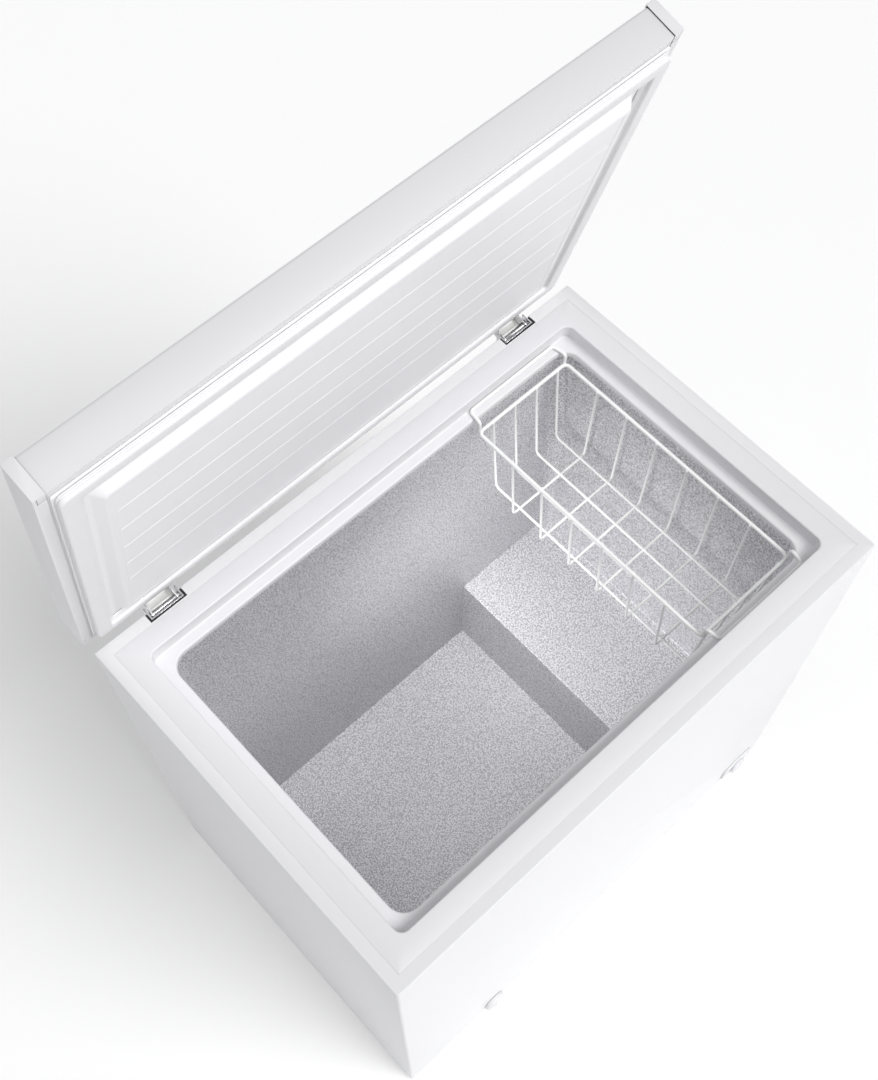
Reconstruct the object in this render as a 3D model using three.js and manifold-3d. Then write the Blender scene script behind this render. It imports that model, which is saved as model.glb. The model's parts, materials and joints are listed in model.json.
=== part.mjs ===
// A small chest freezer with its lid open: cabinet, lid, hinges, hanging basket, cooling circuit and drain.
// Millimetres, +Z up, -Y is the front. The origin lies on the floor under the middle of the overall box.
import * as THREE from "three";
import { mergeVertices } from "three/addons/utils/BufferGeometryUtils.js";
import Module from "manifold-3d";

const wasm = await Module();
wasm.setup();

// ---- driving dimensions -------------------------------------------------------------------------
const CAB_W = 815; // cabinet, outside
const CAB_D = 552;
const CAB_H = 788;
const FOOT_H = 6; // gap under the cabinet
const SHEET = 0.8; // painted steel
const GAP = 0.4; // between pieces that touch
const EDGE_R = 4; // front vertical edges of the wrap
const RETURN_W = 17; // steel return along the top of the cabinet

const LID_L = 562; // hinge side to front
const LID_T = 44; // skin, inner plane to top
const LID_LIFT = 12; // inner plane above the cabinet top when shut: the gasket's room
const LID_OPEN = 76.2; // degrees from shut in the pose at rest
const CAP_W = 12.5; // lid end caps
const CAP_PROUD = 1.5;
const BORDER = 15; // steel border on the inner side of the lid

const RECESS = { x: 361, y: 229.5, r: 12, depth: 22 }; // stepped recess in the collar, half sizes
const MOUTH = { x: 345.4, y: 214.4, r: 24 }; // opening of the collar, half sizes
const TANK = { x: 347.5, y: 216.5, r: 24, t: 1 }; // inside of the liner, half sizes
const FLOOR_Z = FOOT_H + 70; // inside floor of the liner
const STEP_X = 162; // face of the step over the compressor
const STEP_Z = FOOT_H + 250;
const FOAM_WALL = 46; // foam between the liner step and the compressor bay

const HINGE_X = 303; // hinge centres, left and right
const HINGE_W = 50;
const AXIS_Y = 275; // hinge axis
const AXIS_DROP = 13; // axis below the cabinet top
const PIN_R = 3;

const BASKET = { x0: 170, x1: 336, y: 203.5, drop: 42, depth: 161, rim: 2.75, wire: 1.9, hang: 2.5 };
const BASKET_TAPER = { left: 13, right: 3, end: 15.5 };
const CROSS_Y = [-140, -84, -28, 28, 84, 140];
const LONG_X = [195, 236, 277, 318];

const DIAL_X = 348; // thermostat
const DIAL_Z = FOOT_H + 31;
const DIAL_HOLE = 25; // width of the hole behind the dial
const DRAIN_X = -230; // drain
const DRAIN_Z = FOOT_H + 20;
const DRAIN_HOLE_R = 14; // hole in the wrap
const DRAIN_FLOOR = { x: DRAIN_X, y: -175, r: 11 }; // hole in the liner floor
const GRILLE = { y0: -150, y1: 130, z0: 45, z1: 165 }; // opening in the right side
const BAY_DOOR = { x0: 264, x1: 392, z0: 40, z1: 166 }; // opening in the back panel
const GLAND = { x: 186, z: 60, r: 11 }; // where the mains lead comes out

const TOP = FOOT_H + CAB_H; // cabinet top
const HALF_W = CAB_W / 2;
const HALF_D = CAB_D / 2;
const BASE = FOOT_H; // underside of the base pan
const AXIS_Z = TOP - AXIS_DROP;
const BAY_X = STEP_X + FOAM_WALL; // left side of the compressor bay
const BAY_Z = STEP_Z - FOAM_WALL; // roof of the compressor bay
const FRONT_Y = -HALF_D;

// ---- materials ----------------------------------------------------------------------------------
function finish(color, roughness, metalness) {
  return new THREE.MeshStandardMaterial({ color, roughness, metalness });
}
const PAINT = finish(0xf2f2f4, 0.3, 0);
const GALVANISED = finish(0xa9adb0, 0.45, 0.9);
const WHITE_PLASTIC = finish(0xf4f4f6, 0.35, 0);
const GASKET = finish(0xf0f0f0, 0.6, 0);
const EMBOSSED = finish(0xb9babd, 0.35, 1);
const CHROME = finish(0xd8d9db, 0.15, 1);
const COATED_WIRE = finish(0xfafafa, 0.4, 0);
const FOAM = finish(0xe8d9a0, 0.9, 0);
const BLACK_METAL = finish(0x1b1b1d, 0.5, 0.3);
const COPPER = finish(0xb87346, 0.35, 1);
const RUBBER = finish(0x202022, 0.85, 0);
const DARK_PLASTIC = finish(0x2a2b2e, 0.55, 0);

// ---- solid helpers ------------------------------------------------------------------------------
// A manifold-3d solid of a closed three.js geometry.
function solid(geometry) {
  const bare = geometry.index ? geometry.toNonIndexed() : geometry.clone();
  bare.deleteAttribute("normal");
  bare.deleteAttribute("uv");
  const merged = mergeVertices(bare, 1e-3);
  return new wasm.Manifold(
    new wasm.Mesh({
      numProp: 3,
      vertProperties: merged.attributes.position.array,
      triVerts: new Uint32Array(merged.index.array),
    }),
  );
}

// A named mesh of a solid.
function piece(name, made, material) {
  const raw = made.getMesh();
  const geometry = new THREE.BufferGeometry();
  geometry.setAttribute("position", new THREE.BufferAttribute(raw.vertProperties, 3));
  geometry.setIndex(new THREE.BufferAttribute(raw.triVerts, 1));
  geometry.computeVertexNormals();
  const mesh = new THREE.Mesh(geometry, material);
  mesh.name = name;
  return mesh;
}

function joined(...solids) {
  return solids.reduce((a, b) => a.add(b));
}

function cut(from, ...tools) {
  return tools.reduce((a, b) => a.subtract(b), from);
}

// A block between two corners.
function block(x0, x1, y0, y1, z0, z1) {
  const geometry = new THREE.BoxGeometry(x1 - x0, y1 - y0, z1 - z0);
  return solid(geometry.translate((x0 + x1) / 2, (y0 + y1) / 2, (z0 + z1) / 2));
}

// A round bar from a point, along "x", "y" or "z".
function bar(radius, length, axis, x, y, z, sides = 24) {
  const geometry = new THREE.CylinderGeometry(radius, radius, length, sides);
  geometry.translate(0, length / 2, 0);
  if (axis === "x") geometry.rotateZ(-Math.PI / 2);
  if (axis === "z") geometry.rotateX(Math.PI / 2);
  return solid(geometry.translate(x, y, z));
}

// A turned piece: profile points (radius, height) revolved about +Z, then moved.
function turned(profile, sides, x, y, z) {
  const points = profile.map(([r, h]) => new THREE.Vector2(r, h));
  const geometry = new THREE.LatheGeometry(points, sides);
  geometry.rotateX(Math.PI / 2);
  return solid(geometry.translate(x, y, z));
}

// The outline of a rectangle with round corners, about a centre.
function roundRect(halfX, halfY, r, cx = 0, cy = 0) {
  const shape = new THREE.Shape();
  shape.moveTo(cx + halfX - r, cy - halfY);
  shape.absarc(cx + halfX - r, cy - halfY + r, r, -Math.PI / 2, 0);
  shape.absarc(cx + halfX - r, cy + halfY - r, r, 0, Math.PI / 2);
  shape.absarc(cx - halfX + r, cy + halfY - r, r, Math.PI / 2, Math.PI);
  shape.absarc(cx - halfX + r, cy - halfY + r, r, Math.PI, 1.5 * Math.PI);
  shape.closePath();
  return shape;
}

// An upright prism of a shape between two heights.
function prism(shape, z0, z1, curveSegments = 5) {
  const geometry = new THREE.ExtrudeGeometry(shape, { depth: z1 - z0, bevelEnabled: false, curveSegments });
  return solid(geometry.translate(0, 0, z0));
}

function slab(halfX, halfY, r, z0, z1, cx = 0, cy = 0) {
  return prism(roundRect(halfX, halfY, r, cx, cy), z0, z1);
}

// A rounded rectangular ring between two heights.
function ring(outer, inner, z0, z1) {
  return cut(slab(outer.x, outer.y, outer.r, z0, z1), slab(inner.x, inner.y, inner.r, z0 - 1, z1 + 1));
}

// A shape drawn in the Y-Z plane and extruded from x0 to x1.
function crossPrism(points, x0, x1) {
  const shape = new THREE.Shape(points.map(([y, z]) => new THREE.Vector2(y, z)));
  const geometry = new THREE.ExtrudeGeometry(shape, { depth: x1 - x0, bevelEnabled: false });
  geometry.rotateY(Math.PI / 2);
  geometry.rotateX(Math.PI / 2);
  return solid(geometry.translate(x0, 0, 0));
}

// A path through corner points, with each inner corner rounded, whose rings sit only where it bends.
class BentPath extends THREE.Curve {
  constructor(corners, radius, steps = 3) {
    super();
    this.points = roundedCorners(corners, radius, steps);
  }
  getPoint(t, target = new THREE.Vector3()) {
    const at = Math.min(t * (this.points.length - 1), this.points.length - 1);
    const i = Math.min(Math.floor(at), this.points.length - 2);
    return target.lerpVectors(this.points[i], this.points[i + 1], at - i);
  }
  getPointAt(u, target) {
    return this.getPoint(u, target);
  }
  getTangentAt(u, target = new THREE.Vector3()) {
    const last = this.points.length - 1;
    const i = Math.round(u * last);
    const before = this.points[Math.max(i, 1)].clone().sub(this.points[Math.max(i, 1) - 1]).normalize();
    const next = Math.min(i, last - 1);
    const after = this.points[next + 1].clone().sub(this.points[next]).normalize();
    return target.copy(before.add(after).normalize());
  }
}

function roundedCorners(corners, radius, steps) {
  const at = corners.map(([x, y, z]) => new THREE.Vector3(x, y, z));
  const points = [at[0]];
  for (let i = 1; i < at.length - 1; i++) {
    const back = at[i - 1].clone().sub(at[i]);
    const ahead = at[i + 1].clone().sub(at[i]);
    const reach = Math.min(radius, back.length() / 2.2, ahead.length() / 2.2);
    const start = at[i].clone().addScaledVector(back.normalize(), reach);
    const end = at[i].clone().addScaledVector(ahead.normalize(), reach);
    const bend = new THREE.QuadraticBezierCurve3(start, at[i], end);
    points.push(...bend.getPoints(steps));
  }
  points.push(at[at.length - 1]);
  return points;
}

// A round wire or tube along corner points.
function wire(corners, wireRadius, bendRadius, sides = 6, steps = 3) {
  const path = new BentPath(corners, bendRadius, steps);
  const section = new THREE.Shape();
  section.absarc(0, 0, wireRadius, 0, 2 * Math.PI);
  const geometry = new THREE.ExtrudeGeometry(section, {
    steps: path.points.length - 1,
    extrudePath: path,
    curveSegments: sides,
  });
  return solid(geometry);
}

// Both hinge centres, each with a name ending.
const SIDES = [
  { side: "left", x: -HINGE_X },
  { side: "right", x: HINGE_X },
];

// ---- cabinet ------------------------------------------------------------------------------------
const RIM_Y = HALF_D - RETURN_W; // inner edge of the steel return, front and back
const RIM_X = HALF_W - RETURN_W;
const BACK_Y = HALF_D - SHEET; // front face of the back panel
const NOTCH = { halfX: HINGE_W / 2 + 3, y: 263.2, depth: 73 };

// The wrap's outline from above: front and both sides as one bent sheet.
function wrapOutline(inset) {
  const x = HALF_W - inset;
  const y = FRONT_Y + inset;
  const r = EDGE_R - inset;
  const back = BACK_Y - GAP;
  const shape = new THREE.Shape();
  shape.moveTo(-x, back);
  shape.lineTo(-x, y + r);
  shape.absarc(-x + r, y + r, r, Math.PI, 1.5 * Math.PI);
  shape.lineTo(x - r, y);
  shape.absarc(x - r, y + r, r, -Math.PI / 2, 0);
  shape.lineTo(x, back);
  shape.closePath();
  return shape;
}

function outerWrap() {
  const walls = cut(
    prism(wrapOutline(0), BASE, TOP),
    prism(wrapOutline(SHEET), BASE + SHEET, TOP - SHEET),
    block(-RIM_X, RIM_X, -RIM_Y, HALF_D, TOP - 2, TOP + 1),
    block(-RIM_X, RIM_X, -RIM_Y, HALF_D, BASE - 1, BASE + 2),
    block(-HALF_W + SHEET, HALF_W - SHEET, BACK_Y - 2, HALF_D, BASE + SHEET, TOP - SHEET),
  );
  return cut(
    walls,
    bar(DRAIN_HOLE_R, 20, "y", DRAIN_X, FRONT_Y - 10, DRAIN_Z),
    block(DIAL_X - DIAL_HOLE, DIAL_X + DIAL_HOLE, FRONT_Y - 5, FRONT_Y + 5, DIAL_Z - 14, DIAL_Z + 14),
    block(HALF_W - 5, HALF_W + 5, GRILLE.y0, GRILLE.y1, GRILLE.z0, GRILLE.z1),
  );
}

function backPanel() {
  const sheet = block(-HALF_W, HALF_W, BACK_Y, HALF_D, BASE, TOP);
  const top = block(-RIM_X + GAP, RIM_X - GAP, RIM_Y, BACK_Y, TOP - SHEET, TOP);
  const foot = block(-RIM_X + GAP, RIM_X - GAP, RIM_Y, BACK_Y, BASE, BASE + SHEET);
  const notches = SIDES.map(({ x }) =>
    block(x - NOTCH.halfX, x + NOTCH.halfX, NOTCH.y, HALF_D + 1, TOP - NOTCH.depth, TOP + 1),
  );
  return cut(
    joined(sheet, top, foot),
    ...notches,
    block(BAY_DOOR.x0, BAY_DOOR.x1, BACK_Y - 1, HALF_D + 1, BAY_DOOR.z0, BAY_DOOR.z1),
    bar(GLAND.r, 8, "y", GLAND.x, HALF_D - 4, GLAND.z),
  );
}

const FOOT_POS = [
  ["foot_front_left", -350, -220],
  ["foot_front_right", 350, -220],
  ["foot_back_left", -350, 220],
  ["foot_back_right", 350, 220],
];
const STEM_R = 5;

function basePan() {
  const inside = RIM_Y - GAP;
  const plate = block(-RIM_X + GAP, RIM_X - GAP, -inside, inside, BASE, BASE + SHEET);
  const lipX = RIM_X - GAP - SHEET;
  const lip = cut(
    block(-RIM_X + GAP, RIM_X - GAP, -inside, inside, BASE, BASE + 12),
    block(-lipX, lipX, -inside + SHEET, inside - SHEET, BASE - 1, BASE + 13),
  );
  const holes = FOOT_POS.map(([, x, y]) => bar(STEM_R + 0.5, 6, "z", x, y, BASE - 3, 16));
  const drain = bar(DRAIN_HOLE_R, 30, "y", DRAIN_X, FRONT_Y, DRAIN_Z);
  return cut(joined(plate, lip), ...holes, drain);
}

function foot(x, y) {
  const profile = [
    [0, 0],
    [17, 0],
    [19, 1.2],
    [19, 4.6],
    [18, FOOT_H - GAP],
    [STEM_R, FOOT_H - GAP],
    [STEM_R, FOOT_H + 5],
    [0, FOOT_H + 5],
  ];
  return turned(profile, 24, x, y, 0);
}

// The stepped tank: a box with round corners, less the block of the step.
function tankSolid(grow, floor, roof) {
  const whole = slab(TANK.x + grow, TANK.y + grow, TANK.r + grow, floor - grow, roof);
  const wide = TANK.x + 100;
  return cut(whole, block(STEP_X + grow, wide, -wide, wide, floor - grow - 1, STEP_Z - grow));
}

const LEDGE_Z = TOP - RECESS.depth; // top face of the basket ledge
const COLLAR_T = 2.5;
const TANK_TOP = LEDGE_Z - COLLAR_T - GAP;

function liner() {
  const outside = tankSolid(TANK.t, FLOOR_Z, TANK_TOP);
  const inside = tankSolid(0, FLOOR_Z, TANK_TOP + 1);
  return cut(outside, inside, drainHole(DRAIN_FLOOR.r));
}

function drainHole(r) {
  return bar(r, 40, "z", DRAIN_FLOOR.x, DRAIN_FLOOR.y, FLOOR_Z - 20);
}

function topCollar() {
  const outer = { x: RIM_X - GAP, y: RIM_Y - GAP, r: 3 };
  const step = { x: RECESS.x + COLLAR_T, y: RECESS.y + COLLAR_T, r: RECESS.r + COLLAR_T };
  const lip = { x: TANK.x - GAP, y: TANK.y - GAP, r: TANK.r - GAP };
  const body = joined(
    ring(outer, RECESS, TOP - COLLAR_T, TOP),
    ring(step, RECESS, LEDGE_Z - COLLAR_T, TOP),
    ring(step, MOUTH, LEDGE_Z - COLLAR_T, LEDGE_Z),
    ring(lip, MOUTH, LEDGE_Z - 9, LEDGE_Z),
  );
  return body;
}

const TUBE_ROOM = 10.5; // clear space between the foam and a wall that carries a coil

function cabinetFoam() {
  const roof = TOP - COLLAR_T - GAP;
  const x = HALF_W - SHEET - GAP;
  const front = FRONT_Y + SHEET + TUBE_ROOM;
  const back = BACK_Y - GAP;
  const outside = joined(
    block(-x, x, front, back, BASE + 13, LEDGE_Z - COLLAR_T - GAP),
    cut(
      block(-x, x, front, RIM_Y - 4, LEDGE_Z - 20, roof),
      slab(RECESS.x + COLLAR_T + GAP, RECESS.y + COLLAR_T + GAP, RECESS.r, LEDGE_Z - 21, roof + 1),
    ),
  );
  const hinges = SIDES.map(({ x: at }) =>
    block(at - NOTCH.halfX - 1, at + NOTCH.halfX + 1, NOTCH.y - 1, HALF_D, TOP - NOTCH.depth - 2, TOP),
  );
  return cut(
    outside,
    tankSolid(TANK.t + TUBE_ROOM, FLOOR_Z, TOP),
    block(BAY_X - SHEET - GAP, HALF_W, -HALF_D, HALF_D, 0, BAY_Z + SHEET + GAP),
    ...hinges,
    bar(DRAIN_HOLE_R, 40, "y", DRAIN_X, FRONT_Y, DRAIN_Z),
    bar(DRAIN_TUBE_R + 3, 120, "y", DRAIN_X, FRONT_Y, DRAIN_Z),
    bar(DRAIN_TUBE_R + 3, 80, "z", DRAIN_FLOOR.x, DRAIN_FLOOR.y, DRAIN_Z - 12),
    bar(GLAND.r + 8, 50, "y", GLAND.x, HALF_D - 50, GLAND.z),
  );
}

const DRAIN_TUBE_R = 9;

// An L of sheet that closes the compressor bay off from the foam.
function bayPartition() {
  const x1 = HALF_W - SHEET - GAP;
  const y0 = FRONT_Y + EDGE_R + GAP;
  const y1 = BACK_Y - GAP;
  const z0 = BASE + 13;
  const wall = block(BAY_X - SHEET, BAY_X, y0, y1, z0, BAY_Z + SHEET);
  const roof = block(BAY_X - SHEET, x1, y0, y1, BAY_Z, BAY_Z + SHEET);
  return joined(wall, roof);
}

// A flat louvre plate: a frame with long slots, drawn in the plane across its thin side.
function sideGrille() {
  const margin = 9;
  const plate = block(
    HALF_W + 0.3,
    HALF_W + CAP_PROUD,
    GRILLE.y0 - margin,
    GRILLE.y1 + margin,
    GRILLE.z0 - margin,
    GRILLE.z1 + margin,
  );
  const slots = [];
  for (let z = GRILLE.z0 + 6; z < GRILLE.z1 - 6; z += 12)
    slots.push(block(HALF_W - 1, HALF_W + 5, GRILLE.y0 + 6, GRILLE.y1 - 6, z, z + 6));
  return cut(plate, ...slots);
}

function rearCover() {
  const margin = 8;
  const plate = block(
    BAY_DOOR.x0 - margin,
    BAY_DOOR.x1 + 4,
    HALF_D + 0.3,
    HALF_D + 1.3,
    BAY_DOOR.z0 - margin,
    BAY_DOOR.z1 + margin,
  );
  const slots = [];
  for (const x of [BAY_DOOR.x0 + 8, (BAY_DOOR.x0 + BAY_DOOR.x1) / 2 + 6])
    for (let z = BAY_DOOR.z0 + 10; z < BAY_DOOR.z1 - 10; z += 14)
      slots.push(block(x, x + 50, HALF_D - 1, HALF_D + 4, z, z + 6));
  return cut(plate, ...slots);
}

// ---- cooling circuit ----------------------------------------------------------------------------
const POT = { x: 306, y: 110, r: 66, h: 128 };
const TRAY_Z = BASE + SHEET + 13;
const POT_Z = TRAY_Z + 2.4;

function compressor() {
  const h = POT.h;
  const profile = [
    [0, 0],
    [48, 0],
    [60, 8],
    [POT.r - 2, 26],
    [POT.r - 2, 66],
    [POT.r + 3, 67],
    [POT.r + 3, 71],
    [POT.r - 2, 72],
    [POT.r - 3, 98],
    [52, h - 12],
    [30, h - 2],
    [0, h],
  ];
  return turned(profile, 28, POT.x, POT.y, POT_Z);
}

const GROMMETS = [
  ["grommet_1", 236, 45],
  ["grommet_2", 376, 45],
  ["grommet_3", 236, 175],
  ["grommet_4", 376, 175],
];

function compressorTray() {
  const plate = slab(81, 76, 8, TRAY_Z, TRAY_Z + 2, POT.x, POT.y);
  return cut(plate, ...GROMMETS.map(([, x, y]) => bar(6, 6, "z", x, y, TRAY_Z - 2, 16)));
}

function grommet(x, y) {
  const low = BASE + SHEET + 0.3;
  const profile = [
    [0, low],
    [11, low],
    [11, TRAY_Z - 0.3],
    [5.5, TRAY_Z - 0.3],
    [5.5, TRAY_Z + 2.4],
    [9, TRAY_Z + 2.4],
    [8, TRAY_Z + 6],
    [0, TRAY_Z + 6],
  ];
  return turned(profile, 16, x, y, 0);
}

function relayCover() {
  return block(POT.x - 28, POT.x + 28, POT.y - 108, POT.y - POT.r - 5, POT_Z + 30, POT_Z + 92);
}

function filterDrier() {
  const profile = [
    [0, 0],
    [3, 0],
    [3, 14],
    [9.5, 20],
    [9.5, 92],
    [3, 98],
    [3, 110],
    [0, 110],
  ];
  return turned(profile, 16, 232, -40, 45);
}

const TUBE_R = 3.2;

function suctionTube() {
  const z = POT_Z + 80;
  return wire(
    [
      [POT.x - 42, POT.y + POT.r - 10, z],
      [POT.x - 62, POT.y + POT.r + 24, z],
      [POT.x - 62, POT.y + POT.r + 24, BAY_Z - 4],
    ],
    TUBE_R,
    16,
  );
}

function dischargeTube() {
  const z = POT_Z + 50;
  return wire(
    [
      [POT.x + 50, POT.y - 54, z],
      [POT.x + 72, POT.y - 90, z],
      [POT.x + 72, -170, z],
      [POT.x + 72, -170, BAY_Z - 4],
    ],
    TUBE_R,
    16,
  );
}

// One tube wound round the outside of the tank, above the step.
function evaporatorCoil() {
  const x = TANK.x + TANK.t + TUBE_R + 0.8;
  const y = TANK.y + TANK.t + TUBE_R + 0.8;
  const pitch = 95;
  const corners = [[x - 60, -y, 300]];
  for (let turn = 0; turn < 4; turn++) {
    const z = 300 + turn * pitch;
    corners.push([x, -y, z], [x, y, z], [-x, y, z], [-x, -y, z], [0, -y, z], [x - 60, -y, z + pitch]);
  }
  return wire(corners, TUBE_R, 33, 5, 4);
}

// One tube in hairpins behind the front of the wrap.
function condenserCoil() {
  const y = FRONT_Y + SHEET + TUBE_R + 0.8;
  const reach = 330;
  const pitch = 100;
  const corners = [[reach, y, 240]];
  for (let run = 0; run < 5; run++) {
    const z = 240 + run * pitch;
    const end = run % 2 ? reach : -reach;
    corners.push([end, y, z], [end, y, z + pitch]);
  }
  corners.push([-corners[corners.length - 1][0], y, 240 + 5 * pitch]);
  return wire(corners, TUBE_R, 45, 6, 4);
}

// ---- thermostat and drain -----------------------------------------------------------------------
function turnedToFront(profile, sides, x, y, z) {
  const points = profile.map(([r, h]) => new THREE.Vector2(r, h));
  const geometry = new THREE.LatheGeometry(points, sides);
  geometry.rotateX(Math.PI);
  return solid(geometry.translate(x, y, z));
}

const DIAL_R = 16.5;
const BEZEL_T = 3.2;

function thermostatBezel() {
  const outline = roundRect(34, 22, 12, DIAL_X, DIAL_Z);
  const depth = BEZEL_T;
  const geometry = new THREE.ExtrudeGeometry(outline, { depth, bevelEnabled: false, curveSegments: 5 });
  geometry.rotateX(Math.PI / 2);
  const plate = solid(geometry.translate(0, FRONT_Y - 0.3, 0));
  return cut(plate, bar(SHAFT_R + 1, 20, "y", DIAL_X, FRONT_Y - 10, DIAL_Z, 16));
}

const SHAFT_R = 3;

function thermostatDial() {
  const face = FRONT_Y - 0.3 - BEZEL_T - GAP;
  const knob = turnedToFront(
    [
      [0, 0],
      [DIAL_R, 0],
      [DIAL_R - 0.5, 4.2],
      [DIAL_R - 2, 5.2],
      [0, 5.2],
    ],
    32,
    DIAL_X,
    face,
    DIAL_Z,
  );
  const slot = block(DIAL_X - 1.2, DIAL_X + 1.2, face - 8, face - 4.2, DIAL_Z + 2, DIAL_Z + DIAL_R + 1);
  const shaft = bar(SHAFT_R, 10.6, "y", DIAL_X, face, DIAL_Z, 16);
  return joined(cut(knob, slot), shaft);
}

function thermostatBody() {
  const box = block(DIAL_X - 21, DIAL_X + 21, FRONT_Y + 3, FRONT_Y + 40, DIAL_Z - 12, DIAL_Z + 12);
  return cut(box, bar(SHAFT_R + 0.5, 20, "y", DIAL_X, FRONT_Y - 4, DIAL_Z, 16));
}

function drainPlug() {
  const profile = [
    [0, -12],
    [8.5, -12],
    [9.6, 0.5],
    [16, 0.5],
    [16, 3],
    [14, 4],
    [5, 4],
    [4, 13],
    [0, 13],
  ];
  return turned(profile, 20, DRAIN_FLOOR.x, DRAIN_FLOOR.y, FLOOR_Z);
}

// A pipe from under the floor to the front, open at both ends.
function drainPipe() {
  const x = DRAIN_X;
  const y = DRAIN_FLOOR.y;
  const top = FLOOR_Z - TANK.t - GAP - 12.6;
  const elbow = joined(
    bar(DRAIN_TUBE_R, top - DRAIN_Z, "z", x, y, DRAIN_Z, 16),
    bar(DRAIN_TUBE_R, y - FRONT_Y - 30, "y", x, FRONT_Y + 30, DRAIN_Z, 16),
    block(x - 8, x + 8, y - 8, y + 8, DRAIN_Z - 8, DRAIN_Z + 8),
  );
  return cut(
    elbow,
    bar(DRAIN_TUBE_R - 2, top, "z", x, y, DRAIN_Z, 16),
    bar(DRAIN_TUBE_R - 2, y - FRONT_Y, "y", x, FRONT_Y, DRAIN_Z, 16),
  );
}

// The spout that pulls out of the front, with a square stem for the dial to turn on.
function drainSpout() {
  const sleeve = cut(
    bar(12.5, 26, "y", DRAIN_X, FRONT_Y + 1, DRAIN_Z, 20),
    bar(10.5, 60, "y", DRAIN_X, FRONT_Y + 3, DRAIN_Z, 20),
  );
  return joined(sleeve, bar(4, 8, "y", DRAIN_X, FRONT_Y - 5.6, DRAIN_Z, 16));
}

const DRAIN_DIAL_R = 19;

function drainDial() {
  const knob = turnedToFront(
    [
      [0, 0],
      [DRAIN_DIAL_R, 0],
      [DRAIN_DIAL_R, 5.5],
      [DRAIN_DIAL_R - 2.5, 8],
      [0, 8],
    ],
    28,
    DRAIN_X,
    FRONT_Y - 0.5,
    DRAIN_Z,
  );
  const grip = block(DRAIN_X - 2.5, DRAIN_X + 2.5, FRONT_Y - 9.5, FRONT_Y - 5, DRAIN_Z - 13, DRAIN_Z + 13);
  const bore = bar(4.5, 30, "y", DRAIN_X, FRONT_Y - 6.2, DRAIN_Z, 16);
  return cut(joined(knob, grip), bore);
}

function cordGland() {
  const profile = [
    [4, 3],
    [15, 3],
    [15, 6],
    [10, 10],
    [4, 10],
    [4, 3],
  ];
  const flange = turnedToBack(profile, GLAND.x, HALF_D - 2.6, GLAND.z);
  const neck = cut(
    bar(GLAND.r - 0.6, 14, "y", GLAND.x, HALF_D - 12, GLAND.z),
    bar(4, 30, "y", GLAND.x, HALF_D - 20, GLAND.z),
  );
  return joined(flange, neck);
}

function turnedToBack(profile, x, y, z) {
  const points = profile.map(([r, h]) => new THREE.Vector2(r, h));
  return solid(new THREE.LatheGeometry(points, 20).translate(x, y, z));
}

// ---- hinges -------------------------------------------------------------------------------------
const BOX_Y0 = 264.4;
const BOX_Y1 = 289;
const BOX_Z0 = TOP - 70;
const CHEEK_X = 20; // outer side of each leaf cheek from the hinge centre
const EYE_R = 8;

// The box on the cabinet: open at the top, low at the back to let the leaf swing.
function hingeBox(x) {
  const w = HINGE_W / 2;
  const box = cut(
    block(x - w, x + w, BOX_Y0, BOX_Y1, BOX_Z0, TOP - 1),
    block(x - w + 2, x + w - 2, BOX_Y0 + 2, BOX_Y1 - 2, BOX_Z0 + 2, TOP + 1),
    block(x - w - 1, x + w + 1, 283.5, BOX_Y1 + 1, TOP - 30, TOP + 1),
  );
  return cut(box, bar(PIN_R + 0.4, HINGE_W + 4, "x", x - w - 2, AXIS_Y, AXIS_Z, 16));
}

function hingePin(x) {
  const w = HINGE_W / 2;
  const shank = bar(PIN_R, HINGE_W + 3, "x", x - w - 1.5, AXIS_Y, AXIS_Z, 14);
  const heads = [-w - 2, w + 0.4].map((at) => bar(PIN_R + 1.6, 1.6, "x", x + at, AXIS_Y, AXIS_Z, 14));
  return joined(shank, ...heads);
}

// A compressed coil spring standing in the hinge box.
function hingeSpring(x) {
  const turns = 5;
  const perTurn = 8;
  const corners = [];
  for (let i = 0; i <= turns * perTurn; i++) {
    const angle = (2 * Math.PI * i) / perTurn;
    const z = BOX_Z0 + 4.5 + (i / (turns * perTurn)) * 32;
    corners.push([x + 7.5 * Math.cos(angle), AXIS_Y + 1 + 7.5 * Math.sin(angle), z]);
  }
  return wire(corners, 1.4, 0.01, 3, 1);
}

// The leaf on the lid, drawn shut: two cheeks on the pin, a foot plate and a tail up inside the lid.
function hingeLeaf(x) {
  const plane = TOP + LID_LIFT;
  const eye = bar(EYE_R, 2 * CHEEK_X, "x", x - CHEEK_X, AXIS_Y, AXIS_Z, 20);
  const web = block(x - CHEEK_X, x + CHEEK_X, AXIS_Y - EYE_R, AXIS_Y + EYE_R, AXIS_Z, plane - 0.3);
  const plate = block(x - HINGE_W / 2, x + HINGE_W / 2, 267.4, 280.6, plane - 2.3, plane - 0.3);
  const tail = block(x - CHEEK_X, x + CHEEK_X, 276.6, 278.6, plane - 2.3, plane + 30);
  const inner = CHEEK_X - 2;
  const between = block(x - inner, x + inner, AXIS_Y - 20, AXIS_Y + 20, AXIS_Z - 20, plane - 2.3);
  return cut(
    joined(eye, web, plate, tail),
    between,
    bar(PIN_R + 0.4, 60, "x", x - 30, AXIS_Y, AXIS_Z, 16),
  );
}

// ---- lid, drawn shut ----------------------------------------------------------------------------
const PLANE = TOP + LID_LIFT; // inner plane of the lid
const LID_TOP = PLANE + LID_T;
const LID_HALF = LID_L / 2;
const SKIN_X = HALF_W - 3; // ends of the skin, inside the end caps
const SLOTS = SIDES.map(({ x }) => ({ x, half: CHEEK_X + 1 }));

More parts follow.
